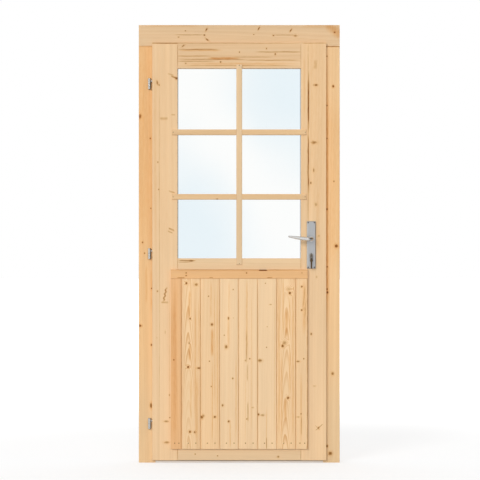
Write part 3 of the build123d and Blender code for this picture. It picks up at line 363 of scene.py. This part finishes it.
def dress(node, material):
    """Gives a CAD node its material."""
    mesh = nodes[node].data
    mesh.materials.clear()
    mesh.materials.append(material)


frame_timber = {
    "frame_head": dict(
        upright=False, tint="head", pith=(1840, 60, 3100), ring=2.6,
        knots=[
            Knot(-241, 1934, 1.9), Knot(-147, 1939, 6, 0.5, 0.85, -0.5), Knot(-156, 1915, 2.8, 1.2, 0.9),
            Knot(-143, 1894, 5, 0.8, 0.7, 0.9), Knot(88, 1945, 6, 0.5, 0.7, -0.5),
            Knot(65, 1918, 2, 1.2, 0.7), Knot(153, 1913, 2.6), Knot(231, 1936, 6, 0.5, 0.7, -0.6),
            Knot(252, 1912, 4, 1.6, 0.4), Knot(427, 1927, 3), Knot(-272, 1906, 2.2, 1.5, 0.6),
        ],
        streaks=[Streak(1916, -300, -150, 2, 0.35), Streak(1915, 150, 255, 2, 0.4)],
        stains=[
            Streak(1960, 270, 470, 14, 0.35, 8), Streak(1958, -440, -150, 8, 0.25),
            Streak(476, 1888, 1998, 36, 0.6, 2, lean=-1.0, turned=True),
        ],
    ),
    "frame_hinge_jamb": dict(
        upright=True, tint="hinge_jamb", foot="hinge_jamb_foot", pith=(-470, -60, 400), ring=3.0, taper=0.02,
        knots=[
            Knot(-444, 1551, 5, 2.0, 0.65), Knot(-398, 1452, 2.8), Knot(-396, 1139, 2.2),
            Knot(-433, 986, 2.8), Knot(-424, 938, 2.4), Knot(-444, 613, 4.8, 1.1, 0.95),
            Knot(-393, 780, 2.4), Knot(-393, 527, 3.4), Knot(-395, 255, 5, 2.0, 0.7),
        ],
        streaks=[joint(1863, -470, -360, 0.22)],
        stains=[
            Streak(-398, 1150, 1880, 12, 0.25, 8), Streak(-430, 1250, 1800, 8, 0.35, 16),
            Streak(-394, 880, 1330, 9, 0.25, 6), Streak(-392, 660, 880, 8, 0.25, 6),
            Streak(-416, 700, 900, 6, 0.3, 10), Streak(-420, 800, 2600, 90, 0.22, 0),
        ],
    ),
    "frame_lock_jamb": dict(
        upright=True, tint="lock_jamb", foot="lock_jamb_foot", pith=(530, -30, 2300), ring=3.0, taper=0.015,
        knots=[
            Knot(421, 1685, 4, 1.2, 1.2), Knot(393, 1820, 2.2), Knot(393, 1599, 2.2),
            Knot(393, 1452, 2.2), Knot(424, 1260, 2.4, 1.5, 0.6), Knot(435, 970, 6.4, 1.1, 0.95),
            Knot(394, 877, 2.6), Knot(393, 1135, 3.4), Knot(394, 777, 2.8, 1.2, 0.95),
            Knot(395, 762, 3.6, 1.2, 1.2), Knot(418, 398, 5.6, 1.1, 0.55), Knot(408, 41, 7.5, 1.0, 0.75),
            Knot(393, 74, 4.2),
        ],
        streaks=[joint(1863, 370, 470, 0.9)],
        stains=[
            # The stains at 391 and 392 are painted shadow: the leaf's shadow on the jamb beside its edge
            Streak(392, 1100, 1880, 8, 0.35, 6), Streak(434, 1050, 1350, 10, 0.2, 8),
            Streak(392, 600, 1100, 10, 0.45, 6), Streak(420, 800, 1700, 90, 0.2, 0),
            Streak(391, 560, 1800, 12, 0.9, 3),
        ],
    ),
    "sill": dict(upright=False, tint="head", pith=(-50, 20, 700)),
}

leaf_timber = {
    "hinge_stile": dict(
        upright=True, tint="leaf", pith=(-520, -30, 1700), grain=0.45, glue=(-357, -312),
        knots=[
            Knot(-366, 1700, 4, 2.0, 0.5, 1.0), Knot(-358, 1690, 2.4, 1.5, 0.6),
            Knot(-281, 1719, 5, 0.9, 0.75), Knot(-364, 1345, 2, 1.5, 0.7),
            Knot(-360, 1223, 1.9, 1.5, 0.7), Knot(-366, 768, 3, 1.4, 0.4), Knot(-368, 560, 3, 1.6, 0.08),
            Knot(-331, 585, 2.6, 3.0, 0.12), Knot(-310, 203, 2), Knot(-312, 304, 2.4, 1.4, 0.4),
            Knot(-326, 186, 10, 0.4, 0.36), Knot(-324, 92, 11, 0.42, 0.38),
        ],
        streaks=[
            Streak(-357, 0, 1880, 2.0, 0.14, 1), Streak(-312, 100, 900, 1.4, 0.12, 1),
            # The line at 1877 is painted shade: a dark line along the leaf's top edge
            Streak(1877, -410, -250, 3.4, 0.7, 0, turned=True),
            Streak(-342, 716, 790, 4.5, 0.65, 2, lean=0.2, teeth=5),
            Streak(718, -352, -314, 5, 0.26, 3, turned=True),
            Streak(1731, -308, -270, 4.5, 0.55, 1, lean=-0.35, turned=True),
            Streak(1742, -322, -290, 4, 0.16, 1, lean=-0.3, turned=True),
            Streak(1217, -318, -284, 4, 0.28, 1, lean=-0.3, turned=True),
            Streak(1050, -318, -288, 5, 0.42, 1, lean=-0.4, turned=True),
            Streak(1038, -322, -296, 4, 0.26, 1, lean=-0.4, turned=True),
            Streak(1540, -358, -316, 8, 0.2, 3, turned=True),
            Streak(1557, -306, -284, 4, 0.2, 1, turned=True),
        ],
        stains=[Streak(-374, 900, 1880, 12, 0.16, 10), Streak(-336, 800, 2100, 90, 0.06, 0)],
    ),
    "lock_stile": dict(
        upright=True, tint="leaf", pith=(470, 20, 4400), grain=0.45, glue=(309,),
        knots=[
            Knot(343, 1690, 5, 1.0, 0.55), Knot(334, 1433, 12, 0.5, 0.42), Knot(333, 1309, 2.4, 3.0, 0.6),
            Knot(320, 1252, 2.8, 1.4, 0.85), Knot(343, 1156, 6, 1.2, 0.22), Knot(356, 1015, 4, 1.2, 0.18),
            Knot(322, 577, 3.2, 1.4, 0.7), Knot(336, 344, 7, 0.5, 0.12), Knot(354, 157, 4, 1.2, 0.42),
            Knot(346, 832, 4, 1.4, 0.14),
        ],
        streaks=[
            Streak(309.5, 1470, 1770, 3.6, 0.7, 1), Streak(309.5, 1500, 1740, 4.0, 1.15, 1),
            Streak(309, 1190, 1480, 3.6, 0.95, 8), Streak(308, 850, 1960, 2.4, 0.3, 1),
            # joint(1877, ...) is no joint but painted shade: a dark line along the leaf's top edge
            joint(1877, 270, 400, 0.4), Streak(341, 1758, 1806, 9, 0.16, 2),
            Streak(340, 144, 176, 2.6, 0.6, 1, lean=1.1), Streak(362, 146, 170, 1.8, 0.35, 1, lean=-1.0),
            Streak(1690, 326, 356, 4.5, 0.22, 1, turned=True),
        ],
        stains=[
            Streak(292, 1500, 1860, 8, 0.25, 6), Streak(352, 900, 1300, 10, 0.2, 8),
            Streak(336, 1000, 2100, 90, 0.14, 0),
        ],
    ),
    "top_rail": dict(
        upright=False, tint="rail", pith=(1700, -30, 200), ring=6.0, taper=0.004, grain=0.8,
        knots=[
            Knot(-250, 1865, 4, 1.0, 0.6, -1.0), Knot(1, 1837, 3, 0.7, 0.7),
            Knot(122, 1853, 3.5, 0.6, 0.7), Knot(161, 1828, 4.4, 0.6, 0.8),
            Knot(-83, 1793, 3.6, 0.8, 0.65), Knot(-239, 1787, 3, 1.2, 0.4),
        ],
        streaks=[
            Streak(1849, -290, -80, 3.4, 0.42, 6), Streak(1804, -290, 60, 3, 0.34, 6),
            Streak(1838, 60, 300, 3.4, 0.34, 5), Streak(1796, -290, -100, 3, 0.28, 5),
            Streak(1777, -290, 290, 3, 0.24, 5), Streak(1801, 10, 290, 3, 0.28, 6),
            Streak(1819, -290, -120, 3, 0.24, 5), Streak(1815, -40, 160, 3, 0.22, 6),
            joint(-276, 1760, 1882, 0.4), joint(276, 1760, 1882, 0.28),
            # The line at 1877 is painted shade: a dark line along the leaf's top edge
            Streak(1877, -640, 340, 3.0, 0.22, 0),
        ],
        stains=[
            Streak(1809, -150, 10, 6.5, 0.95, 5), Streak(1845, -290, -60, 5, 0.5, 5),
            Streak(1785, -290, 290, 7, 0.35, 8),
        ],
    ),
    "middle_rail": dict(
        upright=False, tint="low_rail", pith=(780, -20, 2900), grain=0.45,
        knots=[Knot(-215, 904, 3.4, 2.4, 0.45)],
        streaks=[
            Streak(905, -278, -190, 3, 0.55, 6), Streak(898, -278, -215, 2, 0.3, 4),
            joint(-276, 864, 920, 0.3), joint(276, 864, 920, 0.35),
        ],
    ),
    "bottom_rail": dict(
        upright=False, tint="low_rail", pith=(-20, 30, 5200), grain=0.45,
        knots=[Knot(174, 28, 4, 1.0, 0.5), Knot(-97, 32, 1.9), Knot(-197, 40, 2)],
        streaks=[joint(-276, 8, 66, 0.55), joint(276, 8, 66, 0.45)],
    ),
    "muntin_upright": dict(upright=True, tint="bar", pith=(90, 10, 900), grain=0.45),
    "muntin_upper": dict(upright=False, tint="cross_bar", pith=(1550, -10, 1300)),
    "muntin_lower": dict(
        upright=False, tint="cross_bar", pith=(1110, -30, 3300),
        knots=[Knot(-99, 1180, 2, 1.8)],
    ),
    "glazing_bead_top": dict(upright=False, tint="bar", pith=(1700, 20, 300), grain=0.5),
    "glazing_bead_bottom": dict(upright=False, tint="bar", pith=(850, 20, 1300), grain=0.5),
    "glazing_bead_left": dict(upright=True, tint="bar", pith=(-330, 20, 2300), grain=0.5),
    "glazing_bead_right": dict(upright=True, tint="bar", pith=(330, 20, 3300), grain=0.5),
}

panel_timber = {
    "panel_trim": dict(
        upright=False, tint="trim", pith=(950, -60, 600), grain=0.5,
        knots=[
            Knot(-237, 850, 2.4), Knot(-237, 838, 2.4), Knot(33, 850, 2.4), Knot(280, 850, 1.8, 1.2, 0.5),
        ],
        streaks=[
            # The line at 863.5 is painted shade along the trim's top edge
            Streak(863.5, -360, 360, 3.0, 0.28, 1), Streak(862.5, 84, 128, 3.6, 2.2, 1),
            Streak(829, -280, -240, 2.4, 0.5, 1), Streak(829, -135, -115, 2.4, 0.5, 1),
            Streak(829, 122, 150, 2.4, 0.4, 1),
        ],
    ),
    "panel_board_1": dict(
        upright=True, tint="strip", pith=(-360, -30, 1100),
        knots=[Knot(-292, 462, 2.4)],
        stains=[Streak(-288, 40, 860, 12, 0.4, 12), Streak(-300, 60, 760, 4, 0.3, 6)],
    ),
    "panel_board_2": dict(
        upright=True, tint="board", pith=(-222, -105, 2600), taper=0.02, grain=0.8,
        knots=[
            Knot(-236, 804, 4.2, 1.1, 1.0), Knot(-192, 798, 7, 0.8, 0.48),
            Knot(-219, 646, 3.2, 1.2, 0.95), Knot(-223, 537, 2.4), Knot(-228, 430, 4.4, 1.1, 1.05),
            Knot(-180, 425, 7.5, 0.5, 0.85), Knot(-220, 141, 4.4, 1.1, 0.95),
            Knot(-199, 139, 3.8, 1.1, 0.55),
        ],
        stains=[
            Streak(-222, 640, 780, 6, 0.55, 4), Streak(-221, 450, 540, 6, 0.55, 4),
            Streak(-196, 150, 760, 4, 0.4, 8), Streak(-190, 80, 420, 8, 0.3, 8),
            Streak(-180, 430, 760, 3, 0.35, 6), Streak(-216, 180, 400, 4, 0.35, 6),
        ],
    ),
    "panel_board_3": dict(
        upright=True, tint="board", pith=(-20, -40, 800),
        knots=[
            Knot(-137, 746, 2), Knot(-122, 620, 4.4, 1.2, 0.85), Knot(-133, 456, 2),
            Knot(-167, 206, 4.8, 1.3, 0.85), Knot(-109, 207, 4.2, 1.1, 0.85), Knot(-125, 343, 2),
            Knot(-161, 212, 6, 1.0, 0.3),
        ],
        stains=[
            Streak(-121, 470, 610, 7, 0.75, 3), Streak(-120, 60, 480, 3.4, 0.45, 5),
            Streak(-110, 210, 820, 3, 0.35, 5), Streak(-98, 60, 830, 3, 0.4, 4),
            Streak(-126, 630, 820, 3.4, 0.4, 5),
        ],
    ),
    "panel_board_4": dict(
        upright=True, tint="cool_board", pith=(40, -50, 3800),
        knots=[
            Knot(-27, 776, 1.8), Knot(-48, 648, 3.2, 1.8, 0.75), Knot(-26, 649, 1.8, 1.2, 0.2),
            Knot(-58, 520, 5.6, 1.3, 0.58), Knot(-29, 379, 3.2, 1.1, 0.6), Knot(-74, 259, 4, 1.1, 0.6),
            Knot(-47, 187, 3.8, 1.1, 0.9), Knot(-67, 572, 1.8),
        ],
        stains=[
            Streak(-48, 500, 660, 7, 0.3, 6), Streak(-46, 640, 830, 4, 0.25, 5),
            Streak(-40, 60, 200, 4, 0.35, 4), Streak(-14, 80, 500, 4, 0.3, 5),
        ],
    ),
    "panel_board_5": dict(
        upright=True, tint="cool_board", pith=(130, -30, 1400),
        knots=[
            Knot(28, 459, 3.2, 1.2, 0.28), Knot(47, 467, 2.2), Knot(60, 249, 5, 0.6, 0.16),
            Knot(34, 198, 2.2),
        ],
        streaks=[
            Streak(33, 440, 600, 4, 0.25, 6), Streak(39, 180, 280, 3, 0.28, 3),
            Streak(36, 360, 450, 3, 0.24, 4),
        ],
        stains=[
            Streak(34, 440, 850, 6, 0.35, 5), Streak(55, 60, 840, 4, 0.15, 6),
            Streak(28, 60, 440, 4, 0.15, 6),
        ],
    ),
    "panel_board_6": dict(
        upright=True, tint="cool_board", pith=(250, -50, 2200), grain=0.4,
        knots=[
            Knot(117, 804, 1.8, 1.2, 0.6), Knot(140, 709, 5, 0.5, 0.28), Knot(92, 459, 9, 0.6, 0.5),
            Knot(86, 218, 3.4, 1.2, 1.0), Knot(104, 215, 9, 0.5, 0.28), Knot(125, 610, 1.8, 1.2, 0.35),
            Knot(122, 518, 1.8),
        ],
        streaks=[Streak(122, 60, 120, 2.2, 0.45, 2)],
        stains=[Streak(122, 60, 260, 3, 0.3, 4), Streak(158, 60, 840, 3, 0.2, 4)],
    ),
    "panel_board_7": dict(
        upright=True, tint="board", pith=(208, -98, 500), ring=3.2, taper=0.03, grain=1.0,
        knots=[
            Knot(226, 760, 4.6, 1.2, 0.95), Knot(194, 524, 4.8, 1.2, 0.95), Knot(202, 538, 8, 0.9, 0.3),
            Knot(218, 292, 4.2, 1.2, 0.95), Knot(222, 778, 8, 0.8, 0.14),
        ],
        stains=[
            Streak(210, 560, 700, 8, 0.6, 4, lean=0.02), Streak(178, 60, 830, 5, 0.4, 8),
            Streak(240, 60, 830, 5, 0.35, 8), Streak(196, 560, 840, 3, 0.5, 6),
            Streak(226, 560, 750, 3, 0.5, 6), Streak(206, 180, 300, 7, 0.5, 5),
            Streak(190, 80, 510, 4, 0.4, 8), Streak(226, 300, 520, 4, 0.4, 8),
        ],
    ),
    "panel_board_8": dict(
        upright=True, tint="board", pith=(310, -90, 4100), taper=0.03, grain=0.7,
        knots=[
            Knot(279, 789, 3.2, 1.1, 0.95), Knot(279, 684, 3.2, 1.1, 0.9), Knot(262, 455, 7, 0.5, 0.5),
            Knot(288, 467, 2.2), Knot(263, 207, 7, 0.5, 0.18), Knot(276, 221, 2.2),
            Knot(290, 690, 8, 1.0, 0.05),
        ],
        streaks=[
            Streak(284, 690, 800, 3, 0.2, 2, lean=0.1), Streak(292, 640, 740, 3, 0.16, 2, lean=0.08),
            # The lines at 304.5 are painted shadow along the panel's right edge
            Streak(278, 120, 220, 2.2, 0.3, 2), Streak(304.5, 150, 1000, 2.4, 0.6, 0),
            Streak(304.5, -60, 560, 2.4, 0.6, 0),
        ],
        stains=[Streak(290, 560, 840, 10, 0.35, 6), Streak(276, 60, 430, 5, 0.3, 5)],
    ),
}

# The seams between the boards of the panel, in millimetres
first_seam, board_step, board_count = -258, 85, 8


def add_seam_shade(timber):
    """Painted shade in the grooves between the boards: dark lines on the boards that meet there."""
    low, high, seam_width, seam_shade_dark = -20, 900, 2.6, 0.15
    for number in range(1, board_count):
        seam = Streak(first_seam + board_step * (number - 1), low, high, seam_width, seam_shade_dark, 0)
        for board in (number, number + 1):
            looks = timber[f"panel_board_{board}"]
            looks["streaks"] = looks.get("streaks", []) + [seam]


def add_nail_marks(timber):
    """Wood darkened round the nails at the foot of the boards."""
    nail_height, mark_radius, mark_dark = 90, 2.2, 0.42
    nail_shares = (0.36, 0.76)
    end_columns = {1: (-288, -269), board_count: (271, 292)}
    for number in range(1, board_count + 1):
        seam = first_seam + board_step * (number - 2)
        columns = end_columns.get(number) or [seam + share * board_step for share in nail_shares]
        marks = [Knot(column, nail_height, mark_radius, 1.0, mark_dark) for column in columns]
        timber[f"panel_board_{number}"]["knots"] += marks


add_seam_shade(panel_timber)
add_nail_marks(panel_timber)
for timber in (frame_timber, leaf_timber, panel_timber):
    for piece, looks in timber.items():
        dress(piece, spruce(piece, **looks))


def metal(name, colour, roughness, brush):
    """Satin metal with fine brush marks. brush is how fast they change along X, Y and Z."""
    mark_depth, mark_height = 0.16, 0.0001
    material, graph, shader = new_material(name)
    place = graph.add("ShaderNodeTexCoord").outputs["Object"]
    marks = graph.noise(place, brush, 2.0).outputs["Fac"]
    shade = graph.math("MULTIPLY_ADD", marks, mark_depth, 1 - mark_depth / 2)
    graph.feed(shader.inputs["Base Color"], graph.scaled(colour[:3], shade))
    unevenness = graph.math("MULTIPLY_ADD", marks, mark_depth, roughness - mark_depth / 2)
    graph.feed(shader.inputs["Roughness"], unevenness)
    shader.inputs["Metallic"].default_value = 1.0
    bump = graph.add("ShaderNodeBump", {"Height": marks, "Strength": 0.2, "Distance": mark_height})
    graph.feed(shader.inputs["Normal"], bump.outputs[0])
    return material


upright_brush = (1800.0, 1800.0, 30.0)
level_brush = (30.0, 1800.0, 1800.0)
even_grain = (900.0, 900.0, 900.0)
metals = {
    "handle": metal("satin_aluminium", linear(166, 167, 168), 0.36, upright_brush),
    "lever": metal("satin_lever", linear(200, 199, 197), 0.28, level_brush),
    "sill": metal("sill_aluminium", linear(216, 206, 196), 0.42, level_brush),
    "hinge": metal("zinc_hinge", linear(186, 184, 180), 0.24, even_grain),
    "steel": metal("lock_steel", linear(176, 176, 176), 0.36, upright_brush),
    "nickel": metal("nickel_cylinder", linear(140, 134, 126), 0.3, even_grain),
    "key": metal("key_nickel", linear(104, 94, 80), 0.28, even_grain),
    "screw": metal("dark_screw", linear(96, 92, 88), 0.42, even_grain),
    "nail": metal("dull_nail", linear(52, 38, 24), 0.55, even_grain),
}
hinge_places, hinge_halves = ("top", "middle", "bottom"), ("frame", "leaf")
hinge_nodes = [f"hinge_{place}_{half}_half" for place in hinge_places for half in hinge_halves]
metal_nodes = {
    "handle": ["outer_plate", "inner_plate"],
    "lever": ["outer_lever", "inner_lever"],
    "sill": ["sill_cover"],
    "hinge": hinge_nodes + ["hinge_pins"],
    "steel": ["lock_case", "lock_cover", "lock_faceplate", "lock_follower", "latch_bolt", "latch_spring",
              "dead_bolt", "spindle", "strike_plate"],
    "nickel": ["cylinder_body", "cylinder_outer_plug", "cylinder_inner_plug", "cylinder_cam"],
    "key": ["key", "key_ring", "spare_key"],
    "screw": ["frame_screws", "sill_cover_screws", "strike_screws", "lock_screws", "cylinder_screw"],
    "nail": ["nails"],
}
for finish, names in metal_nodes.items():
    for piece in names:
        dress(piece, metals[finish])


def add_latch_spring():
    """The leaf spring behind the latch, as an object of its own with its own mesh on the leaf, in place of
    the model's part.
    """
    node = nodes["latch_spring"]
    spring = bpy.data.objects.new("flexing_latch_spring", node.data.copy())
    bpy.context.scene.collection.objects.link(spring)
    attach(spring, "leaf")
    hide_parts("latch_spring")
    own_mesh(spring)


add_latch_spring()


def window_glass():
    """Clear glass with a painted reflection of pale blue sky towards two opposite corners, and a grey line at
    the stiles that is partly a seal and partly painted shade.
    """
    clear_tint, reflected_sky_tint, seal_and_shade_tint = linear(252, 253, 252), linear(232, 243, 248), linear(120, 118, 116)
    cloud_stretch, cloud_size = (3.0, 3.0, 3.0), 0.6
    sky_reflection_edge = (0.05, 0.85)
    seal_and_shade_width, seal_and_shade_depth = 0.006, 0.8
    material, graph, shader = new_material("window_glass")
    x, y, z = graph.split(graph.add("ShaderNodeTexCoord").outputs["Object"])
    low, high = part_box("glass_pane")
    share_x = graph.smooth(x, low.x, high.x)
    share_z = graph.smooth(z, low.z, high.z)
    # Painted reflection: a pale blue sky painted into the glass's tint towards two opposite corners
    corner = graph.math("ABSOLUTE", graph.math("SUBTRACT", graph.math("ADD", share_x, share_z), 1.0))
    cloud = graph.noise(graph.combine(x, y, z), cloud_stretch).outputs["Fac"]
    corner = graph.math("ADD", corner, graph.math("MULTIPLY_ADD", cloud, cloud_size, -cloud_size / 2))
    colour = graph.blend(graph.smooth(corner, *sky_reflection_edge), clear_tint, reflected_sky_tint)
    # Painted shade, partly a seal: a grey line on the glass along each stile
    left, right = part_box("hinge_stile")[1].x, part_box("lock_stile")[0].x
    left_seal_and_shade = graph.fade(x, left, left + seal_and_shade_width)
    right_seal_and_shade = graph.smooth(x, right - seal_and_shade_width, right)
    seal_and_shade = graph.math("MAXIMUM", left_seal_and_shade, right_seal_and_shade)
    colour = graph.blend(graph.math("MULTIPLY", seal_and_shade, seal_and_shade_depth), colour, seal_and_shade_tint)
    graph.feed(shader.inputs["Base Color"], colour)
    shader.inputs["Roughness"].default_value = 0.0
    shader.inputs["IOR"].default_value = 1.5
    shader.inputs["Transmission Weight"].default_value = 1.0
    # Light passes straight through to the wood behind
    path = graph.add("ShaderNodeLightPath").outputs
    light_ray = graph.math("MAXIMUM", path["Is Shadow Ray"], path["Is Diffuse Ray"])
    clear = graph.add("ShaderNodeBsdfTransparent")
    both = graph.add("ShaderNodeMixShader", {0: light_ray, 1: shader.outputs[0], 2: clear.outputs[0]})
    graph.feed(graph.tree.nodes["Material Output"].inputs["Surface"], both.outputs[0])
    return material


dress("glass_pane", window_glass())


def seen_share(graph):
    """1 for rays that show the surroundings to the camera, in metal or through glass."""
    path = graph.add("ShaderNodeLightPath").outputs
    seen = graph.math("MAXIMUM", path["Is Camera Ray"], path["Is Glossy Ray"])
    return graph.math("MAXIMUM", seen, path["Is Transmission Ray"])


def mirror_level(graph, side):
    """Metal mirrors a studio that is dark to the right. side is how far a ray goes to the right, -1 to 1."""
    right_dimming, dimming_edge = 0.97, (0.1, 0.7)
    path = graph.add("ShaderNodeLightPath").outputs
    mirrored = graph.math("GREATER_THAN", path["Is Glossy Ray"], path["Is Transmission Ray"])
    dimming = graph.math("MULTIPLY", graph.smooth(side, *dimming_edge), mirrored)
    return graph.math("MULTIPLY_ADD", dimming, -right_dimming, 1.0)


def make_world():
    """A white studio. Its fill light is stronger behind the door, where no lamp shines."""
    front_fill, back_fill = 0.52, 1.1
    fill_edge = (0.0, 0.4)
    world = bpy.data.worlds.new("studio")
    world.use_nodes = True
    world.node_tree.nodes.clear()
    graph = Graph(world.node_tree)
    direction = graph.split(graph.add("ShaderNodeTexCoord").outputs["Generated"])
    side, inward = direction["X"], direction["Y"]
    fill = graph.math("MULTIPLY_ADD", graph.smooth(inward, *fill_edge), back_fill - front_fill, front_fill)
    seen = seen_share(graph)
    strength = graph.math("MULTIPLY_ADD", graph.math("SUBTRACT", 1.0, seen), fill, seen)
    strength = graph.math("MULTIPLY", strength, mirror_level(graph, side))
    background = graph.add("ShaderNodeBackground", {"Color": linear(255, 255, 255), "Strength": strength})
    graph.add("ShaderNodeOutputWorld", {"Surface": background.outputs[0]})
    return world


bpy.context.scene.world = make_world()


def floor_material():
    """A matt pale floor that looks white away from the door and keeps the shadow at its foot."""
    glow_near, glow_far = 0.57, 1.0
    near, far = 1.2, 4.5
    material = bpy.data.materials.new("pale_floor")
    material.use_nodes = True
    material.node_tree.nodes.clear()
    graph = Graph(material.node_tree)
    place = graph.split(graph.add("ShaderNodeTexCoord").outputs["Object"])
    x, y = place["X"], place["Y"]
    distance = graph.length(x, y)
    far_share = graph.smooth(distance, near, far)
    glow_strength = graph.math("MULTIPLY_ADD", far_share, glow_far - glow_near, glow_near)
    glow_strength = graph.math("MULTIPLY", glow_strength, seen_share(graph))
    side = graph.math("DIVIDE", x, graph.math("ADD", distance, near))
    glow_strength = graph.math("MULTIPLY", glow_strength, mirror_level(graph, side))
    matt = graph.add("ShaderNodeBsdfDiffuse", {"Color": linear(180, 180, 180)})
    glow = graph.add("ShaderNodeEmission", {"Color": linear(255, 255, 255), "Strength": glow_strength})
    both = graph.add("ShaderNodeAddShader", {0: matt.outputs[0], 1: glow.outputs[0]})
    graph.add("ShaderNodeOutputMaterial", {"Surface": both.outputs[0]})
    return material


def add_floor():
    """A large level square under the door."""
    half = 40.0
    corners = [(-half, -half, 0), (half, -half, 0), (half, half, 0), (-half, half, 0)]
    mesh = bpy.data.meshes.new("floor")
    mesh.from_pydata(corners, [], [(0, 1, 2, 3)])
    mesh.materials.append(floor_material())
    floor = bpy.data.objects.new("floor", mesh)
    bpy.context.scene.collection.objects.link(floor)


add_floor()


def far_lamp(name, left, up, spread, strength, mirrored=True):
    """An even soft lamp in front of the door, so many degrees to the left, up and wide.

    One that isn't mirrored leaves metal and glass alone.
    """
    lamp = bpy.data.lights.new(name, "SUN")
    lamp.angle = radians(spread)
    lamp.energy = strength
    lamp_object = bpy.data.objects.new(name, lamp)
    lamp_object.rotation_euler = (radians(90 - up), 0, radians(-left))
    lamp_object.visible_glossy = mirrored
    lamp_object.visible_transmission = mirrored
    bpy.context.scene.collection.objects.link(lamp_object)


far_lamp("key", left=28, up=20, spread=24, strength=1.12)
far_lamp("front_fill", left=-4, up=14, spread=30, strength=0.75, mirrored=False)


def add_camera():
    """A camera straight in front, level with the middle of the picture."""
    view_width = 2.15           # what the picture's width covers at the front of the frame
    view_distance = 8.5
    sensor_width = 36.0
    middle_x, middle_z = 0.0034, 0.997
    camera = bpy.data.cameras.new("camera")
    camera.sensor_width = sensor_width
    camera.lens = sensor_width * view_distance / view_width
    camera_object = bpy.data.objects.new("camera", camera)
    frame_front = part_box("frame_head")[0].y
    camera_object.location = (middle_x, frame_front - view_distance, middle_z)
    camera_object.rotation_euler = (pi / 2, 0, 0)
    bpy.context.scene.collection.objects.link(camera_object)
    bpy.context.scene.camera = camera_object


add_camera()
bpy.context.scene.view_settings.view_transform = "Standard"
